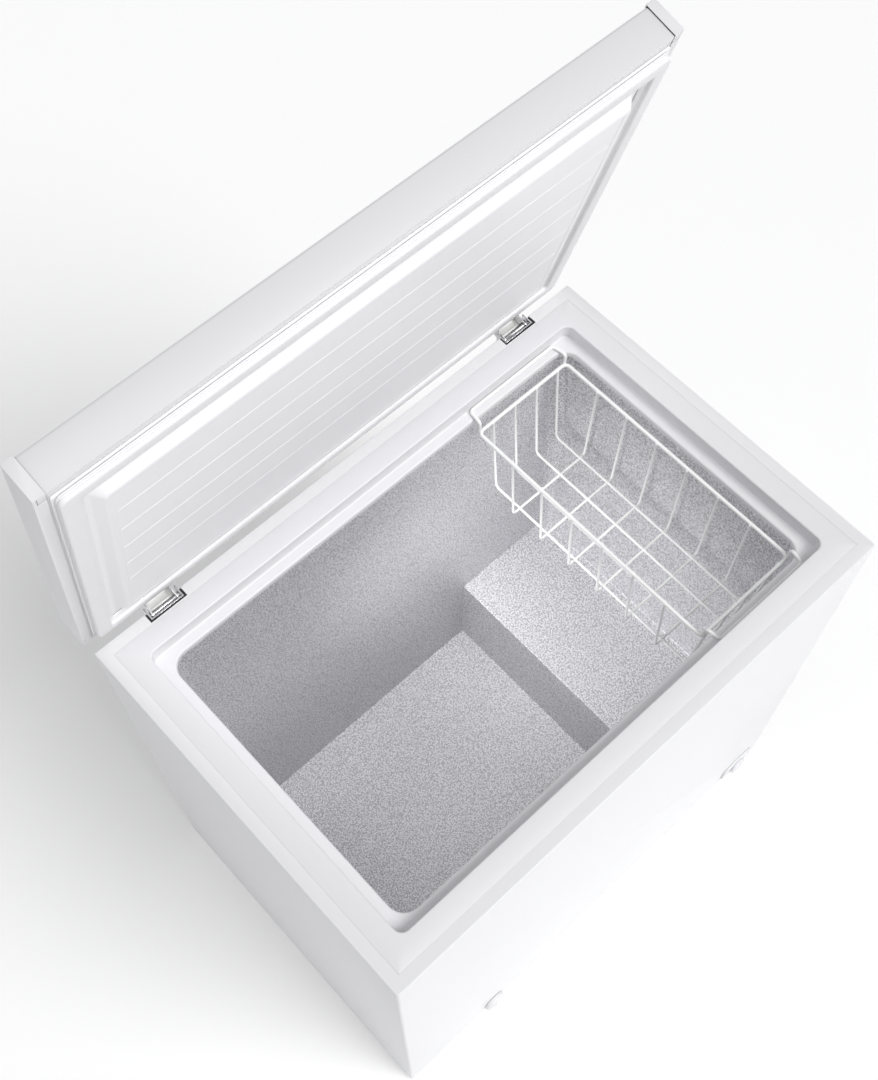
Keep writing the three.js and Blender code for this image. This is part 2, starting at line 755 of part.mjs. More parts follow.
function lidSkin() {
  const profile = cut(
    block(-SKIN_X, SKIN_X, -LID_HALF, LID_HALF, PLANE, LID_TOP),
    block(-SKIN_X - 1, SKIN_X + 1, -LID_HALF + SHEET, LID_HALF - SHEET, PLANE + SHEET, LID_TOP - SHEET),
    block(-SKIN_X - 1, SKIN_X + 1, -LID_HALF + BORDER, LID_HALF - BORDER, PLANE - 1, PLANE + SHEET + 1),
  );
  const slots = SLOTS.map(({ x, half }) => block(x - half, x + half, 275.6, 279.6, PLANE - 1, PLANE + 5));
  return cut(profile, ...slots);
}

function lidEndCap(sign) {
  const inner = HALF_W - CAP_W;
  const grow = CAP_PROUD;
  const far = HALF_W + grow;
  const skin = LID_HALF + 0.3;
  const shell = cut(
    block(inner, far, -LID_HALF - grow, LID_HALF + grow, PLANE, LID_TOP + grow),
    block(inner - 1, SKIN_X + 0.4, -skin, skin, PLANE - 1, LID_TOP + 0.3),
  );
  const lipY = LID_HALF - BORDER - 1;
  const returnLip = block(RIM_X + 1, SKIN_X + 1, -lipY, lipY, PLANE, PLANE + SHEET);
  const cap = joined(shell, returnLip);
  return sign > 0 ? cap : cap.mirror([1, 0, 0]);
}

const PLUG = { x: 347, y: 213, r: 14, slope: 10, rise: 14 };
const LINER_T = 2;

// A rounded block whose lower edge slopes outwards, from the base plane down to the face.
function plugBody(inset, face, base) {
  const bevel = PLUG.slope;
  const shape = roundRect(PLUG.x - inset, PLUG.y - inset, PLUG.r);
  const geometry = new THREE.ExtrudeGeometry(shape, {
    depth: 30,
    bevelThickness: bevel,
    bevelSize: bevel,
    bevelSegments: 1,
    curveSegments: 4,
  });
  const whole = solid(geometry.translate(0, 0, face + bevel));
  const wide = CAB_W;
  return whole.intersect(block(-wide, wide, -wide, wide, face - 1, base));
}

const GROOVE = { count: 5, first: -150, pitch: 62, half: 1.6, depth: 0.8 };

function lidLiner() {
  const face = PLANE - PLUG.rise;
  const flat = block(-LINER_X, LINER_X, -LINER_Y, LINER_Y, PLANE - 0.3 - LINER_T, PLANE - 0.3);
  const body = joined(flat, plugBody(0, face, PLANE - 0.3));
  const grooves = [];
  for (let i = 0; i < GROOVE.count; i++) {
    const y = GROOVE.first + i * GROOVE.pitch;
    grooves.push(block(-322, 322, y - GROOVE.half, y + GROOVE.half, face - 1, face + GROOVE.depth));
  }
  return cut(body, plugBody(LINER_T, face + LINER_T, PLANE + 1), ...grooves);
}

const LINER_X = 392;
const LINER_Y = 265.5;

function lidFoam() {
  const end = SKIN_X - 0.4;
  const back = LID_HALF - SHEET - GAP;
  const upper = block(-end, end, -back, back, PLANE + SHEET + GAP, LID_TOP - SHEET - GAP);
  const lower = plugBody(LINER_T + GAP, PLANE - PLUG.rise + LINER_T + GAP, PLANE + SHEET + 2);
  const slots = SLOTS.map(({ x, half }) => block(x - half, x + half, 275.6, LID_HALF, PLANE, PLANE + 32));
  return cut(joined(upper, lower), ...slots);
}

const SEAL = { x: 391, y: 265, width: 27 };

function lidGasket() {
  const high = PLANE - 0.3 - LINER_T - 0.3;
  const low = TOP + GAP;
  const outer = { x: SEAL.x, y: SEAL.y, r: 6 };
  const inner = { x: SEAL.x - SEAL.width, y: SEAL.y - SEAL.width, r: 4 };
  const foot = {
    outer: { x: SEAL.x - 3, y: SEAL.y - 3, r: 5 },
    inner: { x: SEAL.x - SEAL.width + 5, y: SEAL.y - SEAL.width + 5, r: 5 },
  };
  return joined(ring(outer, inner, high - 5, high), ring(foot.outer, foot.inner, low, high - 4));
}

// ---- basket -------------------------------------------------------------------------------------
const RIM_Z = TOP - BASKET.drop;
const NET_Z = RIM_Z - BASKET.depth;

function basketRim() {
  const { x0, x1, y } = BASKET;
  const mid = (x0 + x1) / 2;
  const corners = [
    [mid + GAP, y, RIM_Z],
    [x1, y, RIM_Z],
    [x1, -y, RIM_Z],
    [x0, -y, RIM_Z],
    [x0, y, RIM_Z],
    [mid, y, RIM_Z],
  ];
  return wire(corners, BASKET.rim, 7);
}

// A hanger: up from the rim, over the ledge, along it and back.
function basketHanger(sign) {
  const { x0, x1, y, rim, hang } = BASKET;
  const ledge = LEDGE_Z + hang + GAP;
  const leg = y + 1;
  const low = RIM_Z + rim + hang + GAP;
  const out = RECESS.y - hang - 1;
  const left = x0 + 2.5;
  const right = x1 - 2;
  const corners = [
    [left, sign * leg, low - hang],
    [left, sign * leg, ledge],
    [left + 2, sign * out, ledge],
    [right - 4, sign * out, ledge],
    [right, sign * leg, ledge],
    [right, sign * leg, low - hang],
  ];
  return wire(corners, hang, 6);
}

function crossWire(y) {
  const { x0, x1, rim, wire: r } = BASKET;
  const start = rim + r + GAP;
  return wire(
    [
      [x0 + start, y, RIM_Z + 1],
      [x0 + BASKET_TAPER.left, y, NET_Z],
      [x1 - BASKET_TAPER.right - start, y, NET_Z],
      [x1 - start, y, RIM_Z + 1],
    ],
    r,
    7,
  );
}

function longWire(x) {
  const { y, rim, wire: r } = BASKET;
  const start = rim + r + GAP;
  const low = NET_Z + 2 * r + GAP;
  return wire(
    [
      [x, -y + start, RIM_Z + 1],
      [x, -y + BASKET_TAPER.end, low],
      [x, y - BASKET_TAPER.end, low],
      [x, y - start, RIM_Z + 1],
    ],
    r,
    7,
  );
}

// ---- assembly -----------------------------------------------------------------------------------
function cabinetGroup() {
  const group = new THREE.Group();
  group.add(
    piece("outer_wrap", outerWrap(), PAINT),
    piece("back_panel", backPanel(), PAINT),
    piece("base_pan", basePan(), GALVANISED),
    piece("liner_tank", liner(), EMBOSSED),
    piece("top_collar", topCollar(), WHITE_PLASTIC),
    piece("cabinet_foam", cabinetFoam(), FOAM),
    piece("bay_partition", bayPartition(), GALVANISED),
    piece("side_grille", sideGrille(), WHITE_PLASTIC),
    piece("rear_cover", rearCover(), GALVANISED),
    piece("cord_gland", cordGland(), DARK_PLASTIC),
  );
  for (const [name, x, y] of FOOT_POS) group.add(piece(name, foot(x, y), DARK_PLASTIC));
  return group;
}

function coolingGroup() {
  const group = new THREE.Group();
  group.add(
    piece("compressor", compressor(), BLACK_METAL),
    piece("compressor_tray", compressorTray(), GALVANISED),
    piece("relay_cover", relayCover(), DARK_PLASTIC),
    piece("filter_drier", filterDrier(), COPPER),
    piece("suction_tube", suctionTube(), COPPER),
    piece("discharge_tube", dischargeTube(), COPPER),
    piece("evaporator_coil", evaporatorCoil(), COPPER),
    piece("condenser_coil", condenserCoil(), COPPER),
  );
  for (const [name, x, y] of GROMMETS) group.add(piece(name, grommet(x, y), RUBBER));
  return group;
}

function controlGroup() {
  const group = new THREE.Group();
  group.add(
    piece("thermostat_bezel", thermostatBezel(), WHITE_PLASTIC),
    piece("thermostat_body", thermostatBody(), DARK_PLASTIC),
    piece("thermostat_dial", thermostatDial(), WHITE_PLASTIC),
    piece("drain_plug", drainPlug(), RUBBER),
    piece("drain_pipe", drainPipe(), WHITE_PLASTIC),
    piece("drain_spout", drainSpout(), WHITE_PLASTIC),
    piece("drain_dial", drainDial(), WHITE_PLASTIC),
  );
  return group;
}

function hingeGroup() {
  const group = new THREE.Group();
  for (const { side, x } of SIDES)
    group.add(
      piece("hinge_box_" + side, hingeBox(x), CHROME),
      piece("hinge_pin_" + side, hingePin(x), CHROME),
      piece("hinge_spring_" + side, hingeSpring(x), GALVANISED),
    );
  return group;
}

// The lid is drawn shut, then turned back about the hinge axis.
function lidGroup() {
  const shut = new THREE.Group();
  shut.add(
    piece("lid_skin", lidSkin(), PAINT),
    piece("lid_end_cap_left", lidEndCap(-1), WHITE_PLASTIC),
    piece("lid_end_cap_right", lidEndCap(1), WHITE_PLASTIC),
    piece("lid_foam", lidFoam(), FOAM),
    piece("lid_liner", lidLiner(), WHITE_PLASTIC),
    piece("lid_gasket", lidGasket(), GASKET),
  );
  for (const { side, x } of SIDES) shut.add(piece("hinge_leaf_" + side, hingeLeaf(x), CHROME));
  shut.position.set(0, -AXIS_Y, -AXIS_Z);
  const swung = new THREE.Group();
  swung.add(shut);
  swung.rotation.x = -THREE.MathUtils.degToRad(LID_OPEN);
  swung.position.set(0, AXIS_Y, AXIS_Z);
  return swung;
}

function basketGroup() {
  const group = new THREE.Group();
  group.add(
    piece("basket_rim", basketRim(), COATED_WIRE),
    piece("basket_hanger_back", basketHanger(1), COATED_WIRE),
    piece("basket_hanger_front", basketHanger(-1), COATED_WIRE),
  );
  CROSS_Y.forEach((y, i) => group.add(piece("basket_cross_" + (i + 1), crossWire(y), COATED_WIRE)));
  LONG_X.forEach((x, i) => group.add(piece("basket_long_" + (i + 1), longWire(x), COATED_WIRE)));
  return group;
}

// The whole freezer, moved so that the origin is under the middle of its box with the lid open.
const freezer = new THREE.Group();
freezer.add(cabinetGroup(), coolingGroup(), controlGroup(), hingeGroup(), lidGroup(), basketGroup());
const MIDDLE_Y = 29.87;
freezer.position.y = -MIDDLE_Y;

export default freezer;
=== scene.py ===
"""A small chest freezer with its lid open: enamelled case, rim, embossed tank and hanging basket."""

import json
import math

import bmesh
import bpy
from bpy.props import FloatProperty, FloatVectorProperty, IntProperty, PointerProperty
from mathutils import Matrix, Vector

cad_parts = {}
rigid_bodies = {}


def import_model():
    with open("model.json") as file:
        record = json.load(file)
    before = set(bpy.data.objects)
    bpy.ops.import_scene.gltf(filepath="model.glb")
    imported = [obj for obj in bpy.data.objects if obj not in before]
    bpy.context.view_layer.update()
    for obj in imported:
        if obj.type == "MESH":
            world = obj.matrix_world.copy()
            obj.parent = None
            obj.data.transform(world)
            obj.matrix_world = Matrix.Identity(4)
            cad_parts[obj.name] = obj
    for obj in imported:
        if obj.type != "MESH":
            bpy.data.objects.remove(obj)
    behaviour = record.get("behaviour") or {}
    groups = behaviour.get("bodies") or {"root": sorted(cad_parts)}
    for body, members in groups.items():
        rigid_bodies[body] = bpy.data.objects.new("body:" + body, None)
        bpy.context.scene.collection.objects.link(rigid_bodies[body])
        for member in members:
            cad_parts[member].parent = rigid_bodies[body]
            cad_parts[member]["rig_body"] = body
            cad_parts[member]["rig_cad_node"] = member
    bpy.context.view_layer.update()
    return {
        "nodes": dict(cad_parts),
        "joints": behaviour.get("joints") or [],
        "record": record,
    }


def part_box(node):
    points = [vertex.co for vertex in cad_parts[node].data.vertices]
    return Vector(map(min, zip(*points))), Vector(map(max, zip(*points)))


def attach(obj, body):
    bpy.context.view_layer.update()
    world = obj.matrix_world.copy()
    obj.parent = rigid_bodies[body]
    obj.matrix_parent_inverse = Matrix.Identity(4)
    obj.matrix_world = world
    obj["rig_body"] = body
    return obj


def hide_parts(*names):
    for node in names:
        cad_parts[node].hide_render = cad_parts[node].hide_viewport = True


bl_info = {
    "name": "Chest freezer",
    "version": (1, 0, 0),
    "blender": (4, 5, 0),
    "location": "View3D > Sidebar > Freezer",
    "description": "Builds the case, tank, rim, lid, hinges, basket and controls of a chest freezer",
    "category": "Add Mesh",
}

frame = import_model()

MM = 0.001
WRAP_LOW, WRAP_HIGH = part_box("outer_wrap")
BACK_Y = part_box("back_panel")[1].y
FRONT_Y = WRAP_LOW.y
MID_Y = (FRONT_Y + BACK_Y) / 2
HALF_W = WRAP_HIGH.x
TOP = WRAP_HIGH.z
BASE = WRAP_LOW.z
HINGE = next(joint for joint in frame["joints"] if joint["name"] == "lid_hinge")
LID_OPEN = math.radians(HINGE["range_deg"][1])
LID_PLANE = TOP + 12 * MM  # the lid's inner plane when it is shut
SIDES = {"left": -1, "right": 1}
LEAF_ROOM = 35.2 * MM  # between the cheeks of a hinge leaf
HINGE_GAP = 3.2 * MM  # between a hinge box and the steel in front of it


# ---- what a user may change ---------------------------------------------------------------------
def length(name, description, default):
    return FloatProperty(
        name=name,
        description=description,
        default=default,
        min=0,
        max=1,
        subtype="DISTANCE",
        unit="LENGTH",
    )


def power(name, description, default, **unit):
    return FloatProperty(name=name, description=description, default=default, min=0, **unit)


def tint(name, description, default):
    return FloatVectorProperty(
        name=name,
        description=description,
        default=default,
        size=3,
        min=0,
        max=1,
        subtype="COLOR",
    )


class CaseSettings(bpy.types.PropertyGroup):
    """Sizes of the steel case, the moulded rim and the tank."""

    sheet: length("Sheet", "Thickness of the painted steel", 0.8 * MM)
    corner: length("Front corner", "Outer radius of the two front upright folds", 4 * MM)
    fold: length("Fold", "Outer radius of the other folds", 1.2 * MM)
    steel_return: length("Return", "Width of the steel turned in round the top", 17 * MM)
    recess_round: length("Recess edge", "Rounding of the rim where it drops to the ledge", 2.5 * MM)
    mouth_round: length("Mouth edge", "Rounding of the ledge where it drops into the tank", 3 * MM)
    tank_corner: length("Tank corner", "Inner radius of the tank's upright corners", 24 * MM)
    tank_fold: length("Tank fold", "Rounding of the tank's other folds", 2.5 * MM)


class LidSettings(bpy.types.PropertyGroup):
    """Sizes of the lid's edges, inner panel and seal."""

    crown: length("Crown edge", "Rounding of the lid's outer edges", 4 * MM)
    plug_slope: length("Plug slope", "How far the raised plug's edge leans out", 10 * MM)
    groove: length("Groove", "Width of the long grooves in the plug", 2.4 * MM)
    groove_depth: length("Groove depth", "Depth of the long grooves", 0.7 * MM)
    seal_width: length("Seal width", "Width of the soft seal", 27 * MM)


class BasketSettings(bpy.types.PropertyGroup):
    """Sizes of the basket's wires."""

    rim_wire: length("Rim wire", "Radius of the rim wire", 2.75 * MM)
    net_wire: length("Net wire", "Radius of the crossing wires", 1.9 * MM)
    hanger_wire: length("Hanger wire", "Radius of the wires that hang on the ledge", 2.5 * MM)
    bend: length("Bend", "How far before a corner a wire starts to bend", 8 * MM)
    sides: IntProperty(
        name="Roundness", description="How finely a wire is rounded", default=4, min=2, max=8
    )


class FinishSettings(bpy.types.PropertyGroup):
    """Colours and textures of the finishes."""

    enamel: tint("Enamel", "Painted steel of the case", (0.82, 0.818, 0.832))
    # Painted shade: the lid's enamel is the case's enamel made a little darker, for the shade on the lid's
    # faces.
    shaded_lid_enamel: tint("Lid enamel", "Painted steel of the lid", (0.77, 0.768, 0.781))
    plastic: tint("Plastic", "White moulded plastic", (0.8, 0.795, 0.815))
    # Painted light: the lid's inner panel is a lighter white than the rim's plastic, for more light on the
    # lid's inner face than the lamps give.
    panel: tint("Panel", "White plastic of the lid's inner panel", (0.945, 0.94, 0.96))
    seal: tint("Seal", "Soft vinyl", (0.88, 0.875, 0.89))
    tank: tint("Tank", "Embossed aluminium", (0.955, 0.95, 0.975))
    wire: tint("Wire", "Coated basket wire", (0.96, 0.96, 0.955))
    emboss_size: length("Emboss size", "Size of one pebble of the tank's embossing", 2.5 * MM)
    emboss_depth: length("Emboss depth", "Height of the tank's embossing", 0.45 * MM)


class StageSettings(bpy.types.PropertyGroup):
    """The floor, the lights and the camera."""

    floor: tint("Floor", "Colour of the floor", (0.8, 0.8, 0.802))
    glow: power("Floor glow", "Light that the floor gives off", 0.22)
    sky: power("Ambient", "Strength of the light from all round", 0.26)
    key: power("Key", "Strength of the main soft light", 2.25)
    fill: power("Fill", "Strength of the soft light from overhead", 0.4)
    tank: power("Tank", "Power of the soft light in the tank", 10, unit="POWER")
    lens: FloatProperty(name="Lens", description="Focal length", default=47.43, min=1, unit="CAMERA")


# ---- modelling helpers --------------------------------------------------------------------------
def object_mode():
    bpy.ops.object.mode_set(mode="OBJECT")


def hold(obj):
    """Object mode, with obj alone selected and active."""
    if bpy.context.object and bpy.context.object.mode != "OBJECT":
        object_mode()
    bpy.ops.object.select_all(action="DESELECT")
    obj.select_set(True)
    bpy.context.view_layer.objects.active = obj
    return obj


def named(name):
    """The object just added, named, with its place in its mesh."""
    obj = bpy.context.object
    obj.name = name
    obj.data.name = name
    bpy.ops.object.transform_apply(location=True, rotation=True, scale=True)
    return obj


def block(name, low, high):
    low, high = Vector(low), Vector(high)
    bpy.ops.mesh.primitive_cube_add(size=1, location=(low + high) / 2, scale=high - low)
    return named(name)


def rod(name, radius, depth, centre, axis="z", sides=32):
    turn = {"x": (0, math.pi / 2, 0), "y": (math.pi / 2, 0, 0), "z": (0, 0, 0)}[axis]
    bpy.ops.mesh.primitive_cylinder_add(
        vertices=sides, radius=radius, depth=depth, location=centre, rotation=turn
    )
    return named(name)


def pick(obj, kind, test):
    """Edit mode, with only the parts of obj selected that pass the test. Kind is VERT, EDGE or FACE."""
    hold(obj)
    bpy.ops.object.mode_set(mode="EDIT")
    bpy.ops.mesh.select_mode(type=kind)
    bpy.ops.mesh.select_all(action="DESELECT")
    mesh = bmesh.from_edit_mesh(obj.data)
    for part in {"VERT": mesh.verts, "EDGE": mesh.edges, "FACE": mesh.faces}[kind]:
        if test(part):
            part.select_set(True)
    mesh.select_flush_mode()
    bmesh.update_edit_mesh(obj.data)


def near(a, b, reach=0.05 * MM):
    return abs(a - b) < reach


def edge_at(edge, **where):
    """Whether both ends of an edge have the given x, y or z."""
    return all(near(getattr(v.co, axis), value) for v in edge.verts for axis, value in where.items())


def edge_along(edge, axis):
    run = edge.verts[1].co - edge.verts[0].co
    return abs(getattr(run, axis)) > 0.999 * run.length > 0


def round_edges(obj, test, radius, segments):
    pick(obj, "EDGE", test)
    bpy.ops.mesh.bevel(offset=radius, segments=segments, affect="EDGES", profile=0.5)
    object_mode()


def drop_faces(obj, test):
    pick(obj, "FACE", test)
    bpy.ops.mesh.delete(type="FACE")
    object_mode()


def face_out(obj):
    pick(obj, "FACE", lambda face: True)
    bpy.ops.mesh.remove_doubles(threshold=0.01 * MM)
    bpy.ops.mesh.select_all(action="SELECT")
    bpy.ops.mesh.normals_make_consistent(inside=False)
    object_mode()


def turn_faces(obj, tip, up):
    """Turns all faces over if the top face (tip is max) or bottom face (min) looks the wrong way."""
    face = tip(obj.data.polygons, key=lambda face: face.center.z)
    if (face.normal.z > 0) != up:
        pick(obj, "FACE", lambda face: True)
        bpy.ops.mesh.flip_normals()
        object_mode()


def modify(obj, kind, **settings):
    hold(obj)
    modifier = obj.modifiers.new(kind.title(), kind)
    for key, value in settings.items():
        setattr(modifier, key, value)
    bpy.ops.object.modifier_apply(modifier=modifier.name)


def carve(obj, *cutters):
    """Cuts the cutters out of obj, and removes them."""
    for cutter in cutters:
        modify(obj, "BOOLEAN", object=cutter, operation="DIFFERENCE", solver="EXACT")
        bpy.data.objects.remove(cutter)


def soften(obj, width, segments=2):
    """Rounds every sharp edge a little."""
    modify(
        obj,
        "BEVEL",
        width=width,
        segments=segments,
        limit_method="ANGLE",
        angle_limit=math.radians(40),
        use_clamp_overlap=True,
    )


def swing(obj):
    """Turns a lid piece from shut, as it is modelled, to open, about the hinge axis."""
    pivot = Vector(HINGE["pos_m"])
    hold(obj)
    obj.matrix_world = (
        Matrix.Translation(pivot) @ Matrix.Rotation(-LID_OPEN, 4, "X") @ Matrix.Translation(-pivot)
    )
    bpy.ops.object.transform_apply(location=True, rotation=True, scale=True)


def placed(obj, body, look, *nodes, smooth=35, slot=None):
    """Finishes a piece: smooth shading, its material, its body and the CAD nodes it stands for."""
    hold(obj)
    bpy.ops.object.shade_smooth_by_angle(angle=math.radians(smooth))
    obj.data.materials.clear()
    obj.data.materials.append(look)
    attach(obj, body)
    if nodes:
        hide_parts(*nodes)
    return obj


def repeat(source, name, step):
    """A copy of a piece, with a mesh of its own, moved by step."""
    hold(source)
    bpy.ops.object.duplicate()
    copy = bpy.context.object
    copy.name = name
    copy.data.name = name
    bpy.ops.transform.translate(value=step)
    bpy.ops.object.transform_apply(location=True, rotation=True, scale=True)
    return copy


def middle_of(node):
    low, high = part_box(node)
    return (low + high) / 2


def body_of(node):
    return next(body for body, nodes in frame["record"]["behaviour"]["bodies"].items() if node in nodes)


def merged_copy(node):
    """A copy of a CAD node with its triangles merged into flat faces."""
    source = frame["nodes"][node]
    copy = source.copy()
    copy.data = source.data.copy()
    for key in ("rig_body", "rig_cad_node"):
        if key in copy:
            del copy[key]
    copy.parent = None
    copy.name = node + "_made"
    copy.data.name = copy.name
    bpy.context.scene.collection.objects.link(copy)
    pick(copy, "FACE", lambda face: True)
    bpy.ops.mesh.remove_doubles(threshold=0.005 * MM)
    bpy.ops.mesh.select_all(action="SELECT")
    bpy.ops.mesh.dissolve_limited(angle_limit=math.radians(0.5))
    object_mode()
    return copy


def rounded_copy(node, look, width, segments=2):
    """A copy of a CAD node with its sharp edges rounded, which then stands for the node."""
    copy = merged_copy(node)
    if width:
        soften(copy, width, segments)
    return placed(copy, body_of(node), look, node)


def shut(place):
    """Where a point of the open lid is when the lid is shut."""
    pivot = Vector(HINGE["pos_m"])
    return Matrix.Rotation(LID_OPEN, 3, "X") @ (place - pivot) + pivot


def rounded_loop(half_x, half_y, radius, z, segments=8):
    """A level loop of edges round the freezer's middle: a plane with rounded corners and no face."""
    bpy.ops.mesh.primitive_plane_add(size=1, location=(0, MID_Y, z))
    bpy.context.object.scale = (2 * half_x, 2 * half_y, 1)
    loop = named("loop")
    bpy.ops.object.mode_set(mode="EDIT")
    bpy.ops.mesh.select_all(action="SELECT")
    bpy.ops.mesh.bevel(offset=radius, segments=segments, affect="VERTICES", profile=0.5)
    bpy.ops.mesh.select_all(action="SELECT")
    bpy.ops.mesh.delete(type="ONLY_FACE")
    object_mode()
    return loop


APART = 0.05 * MM  # every other loop is this much higher, because two in one plane are bridged crosswise


def loft(name, levels, closed=False, floor=False, segments=8):
    """Bridges rounded loops in order. Levels are (half x, half y, corner radius, z)."""
    loops = []
    for i, (half_x, half_y, radius, z) in enumerate(levels):
        loop = rounded_loop(half_x, half_y, radius, z + APART * (i % 2), segments=segments)
        group = loop.vertex_groups.new(name=f"level_{i}")
        group.add(range(len(loop.data.vertices)), 1, "REPLACE")
        loops.append(loop)
    hold(loops[0])
    for loop in loops[1:]:
        loop.select_set(True)
    bpy.ops.object.join()
    obj = bpy.context.object
    obj.name = name
    obj.data.name = name
    bpy.ops.object.mode_set(mode="EDIT")
    bpy.ops.mesh.select_mode(type="VERT")
    pairs = [(i, i + 1) for i in range(len(levels) - 1)]
    if closed:
        pairs.append((len(levels) - 1, 0))
    for pair in pairs:
        bpy.ops.mesh.select_all(action="DESELECT")
        for i in pair:
            bpy.ops.object.vertex_group_set_active(group=f"level_{i}")
            bpy.ops.object.vertex_group_select()
        bpy.ops.mesh.bridge_edge_loops()
    if floor:
        bpy.ops.mesh.select_all(action="DESELECT")
        bpy.ops.object.vertex_group_set_active(group=f"level_{len(levels) - 1}")
        bpy.ops.object.vertex_group_select()
        bpy.ops.mesh.edge_face_add()
    object_mode()
    obj.vertex_groups.clear()
    face_out(obj)
    return obj


def quarter(steps):
    """Sines and cosines round a quarter turn."""
    angles = [i * math.pi / 2 / steps for i in range(steps + 1)]
    return [(math.sin(angle), math.cos(angle)) for angle in angles]


def bent_wire(name, corners, radius, bend, sides, closed=False):
    """A round wire: a line of edges with its corners rounded, made a tube."""
    bpy.ops.mesh.primitive_plane_add(size=1, location=(0, 0, 0))
    path = named(name)
    bpy.ops.object.mode_set(mode="EDIT")
    bpy.ops.mesh.select_mode(type="VERT")
    bpy.ops.mesh.select_all(action="SELECT")
    bpy.ops.mesh.merge(type="CENTER")
    at = Vector(corners[0])
    bpy.ops.transform.translate(value=at)
    for corner in corners[1:]:
        step = Vector(corner) - at
        bpy.ops.mesh.extrude_region_move(TRANSFORM_OT_translate={"value": step})
        at = Vector(corner)
    if closed:
        bpy.ops.mesh.select_all(action="SELECT")
        bpy.ops.mesh.remove_doubles(threshold=0.01 * MM)
    bpy.ops.mesh.select_all(action="DESELECT")
    mesh = bmesh.from_edit_mesh(path.data)
    for vert in mesh.verts:
        vert.select_set(len(vert.link_edges) == 2)
    bmesh.update_edit_mesh(path.data)
    bpy.ops.mesh.bevel(offset=bend, segments=5, affect="VERTICES", profile=0.5)
    object_mode()
    bpy.ops.object.convert(target="CURVE")
    line = bpy.context.object
    line.data.bevel_depth = radius
    line.data.bevel_resolution = sides
    line.data.use_fill_caps = not closed
    bpy.ops.object.convert(target="MESH")
    wire = bpy.context.object
    face_out(wire)
    return wire


# ---- finishes -----------------------------------------------------------------------------------
# painted shade: the embossing's hollows are coloured darker than its tops, as if shade fell in them
HOLLOW_PAINTED_SHADE = 0.56  # colour of the embossing's hollows, as a part of that of its tops


def new_group(name, inputs, outputs):
    """An empty shader node group with named float sockets, and its two end nodes."""
    group = bpy.data.node_groups.new(name, "ShaderNodeTree")
    for socket, default in inputs:
        made = group.interface.new_socket(name=socket, in_out="INPUT", socket_type="NodeSocketFloat")
        made.default_value = default
    for socket in outputs:
        group.interface.new_socket(name=socket, in_out="OUTPUT", socket_type="NodeSocketFloat")
    start = group.nodes.new("NodeGroupInput")
    end = group.nodes.new("NodeGroupOutput")
    return group, start, end


def noise(group, source, scale, detail=3.0, roughness=0.5):
    node = group.nodes.new("ShaderNodeTexNoise")
    node.inputs["Detail"].default_value = detail
    node.inputs["Roughness"].default_value = roughness
    group.links.new(source, node.inputs["Vector"])
    group.links.new(scale, node.inputs["Scale"])
    return node.outputs["Fac"]


def maths(group, operation, a, b):
    """A maths node. Each of a and b is a number or a socket."""
    node = group.nodes.new("ShaderNodeMath")
    node.operation = operation
    for socket, value in zip(node.inputs, (a, b)):
        if isinstance(value, (int, float)):
            socket.default_value = value
        else:
            group.links.new(value, socket)
    return node.outputs[0]


def span(group, value, low, high):
    """Value, from 0 to 1, mapped to low..high."""
    node = group.nodes.new("ShaderNodeMapRange")
    group.links.new(value, node.inputs["Value"])
    for socket, limit in (("To Min", low), ("To Max", high)):
        if isinstance(limit, (int, float)):
            node.inputs[socket].default_value = limit
        else:
            group.links.new(limit, node.inputs[socket])
    return node.outputs["Result"]


def patchy_group():
    """Broad patches and fine grain that vary a roughness or a shade between two values."""
    group, start, end = new_group("patchy", [("Scale", 20), ("Low", 0.3), ("High", 0.5)], ["Value"])
    place = group.nodes.new("ShaderNodeTexCoord").outputs["Object"]
    broad = noise(group, place, start.outputs["Scale"], 4, 0.6)
    fine = noise(group, place, maths(group, "MULTIPLY", start.outputs["Scale"], 14), 2)
    mixed = maths(group, "ADD", maths(group, "MULTIPLY", broad, 0.7), maths(group, "MULTIPLY", fine, 0.3))
    spread = maths(group, "SUBTRACT", maths(group, "MULTIPLY", mixed, 2.4), 0.7)
    group.links.new(span(group, spread, start.outputs["Low"], start.outputs["High"]), end.inputs["Value"])
    return group


def peel_group():
    """The low ripple of sprayed enamel or moulded plastic, as a height."""
    group, start, end = new_group("peel", [("Scale", 300), ("Grain", 0.2)], ["Height"])
    place = group.nodes.new("ShaderNodeTexCoord").outputs["Object"]
    ripple = noise(group, place, start.outputs["Scale"], 1)
    grain = noise(group, place, maths(group, "MULTIPLY", start.outputs["Scale"], 6), 2)
    height = maths(group, "ADD", ripple, maths(group, "MULTIPLY", grain, start.outputs["Grain"]))
    group.links.new(height, end.inputs["Height"])
    return group


def pebble_group():
    """Rolled pebble embossing: domed cells of mixed size, as a height and as a mask of their tops, by
    which shade is painted into the hollows.
    """
    group, start, end = new_group("pebble", [("Size", 0.003)], ["Height", "Tops"])
    place = group.nodes.new("ShaderNodeTexCoord").outputs["Object"]
    scale = maths(group, "DIVIDE", 1, start.outputs["Size"])
    cells = group.nodes.new("ShaderNodeTexVoronoi")
    cells.feature = "SMOOTH_F1"
    cells.inputs["Smoothness"].default_value = 0.35
    group.links.new(place, cells.inputs["Vector"])
    group.links.new(scale, cells.inputs["Scale"])
    wobble = noise(group, place, maths(group, "MULTIPLY", scale, 1.3), 3, 0.7)
    dome = maths(group, "SUBTRACT", 1, cells.outputs["Distance"])
    height = maths(group, "ADD", dome, maths(group, "MULTIPLY", wobble, 1.2))
    group.links.new(height, end.inputs["Height"])
    tops = maths(group, "MULTIPLY", maths(group, "SUBTRACT", height, 0.95), 3.2)
    group.links.new(maths(group, "MAXIMUM", maths(group, "MINIMUM", tops, 1), 0), end.inputs["Tops"])
    return group


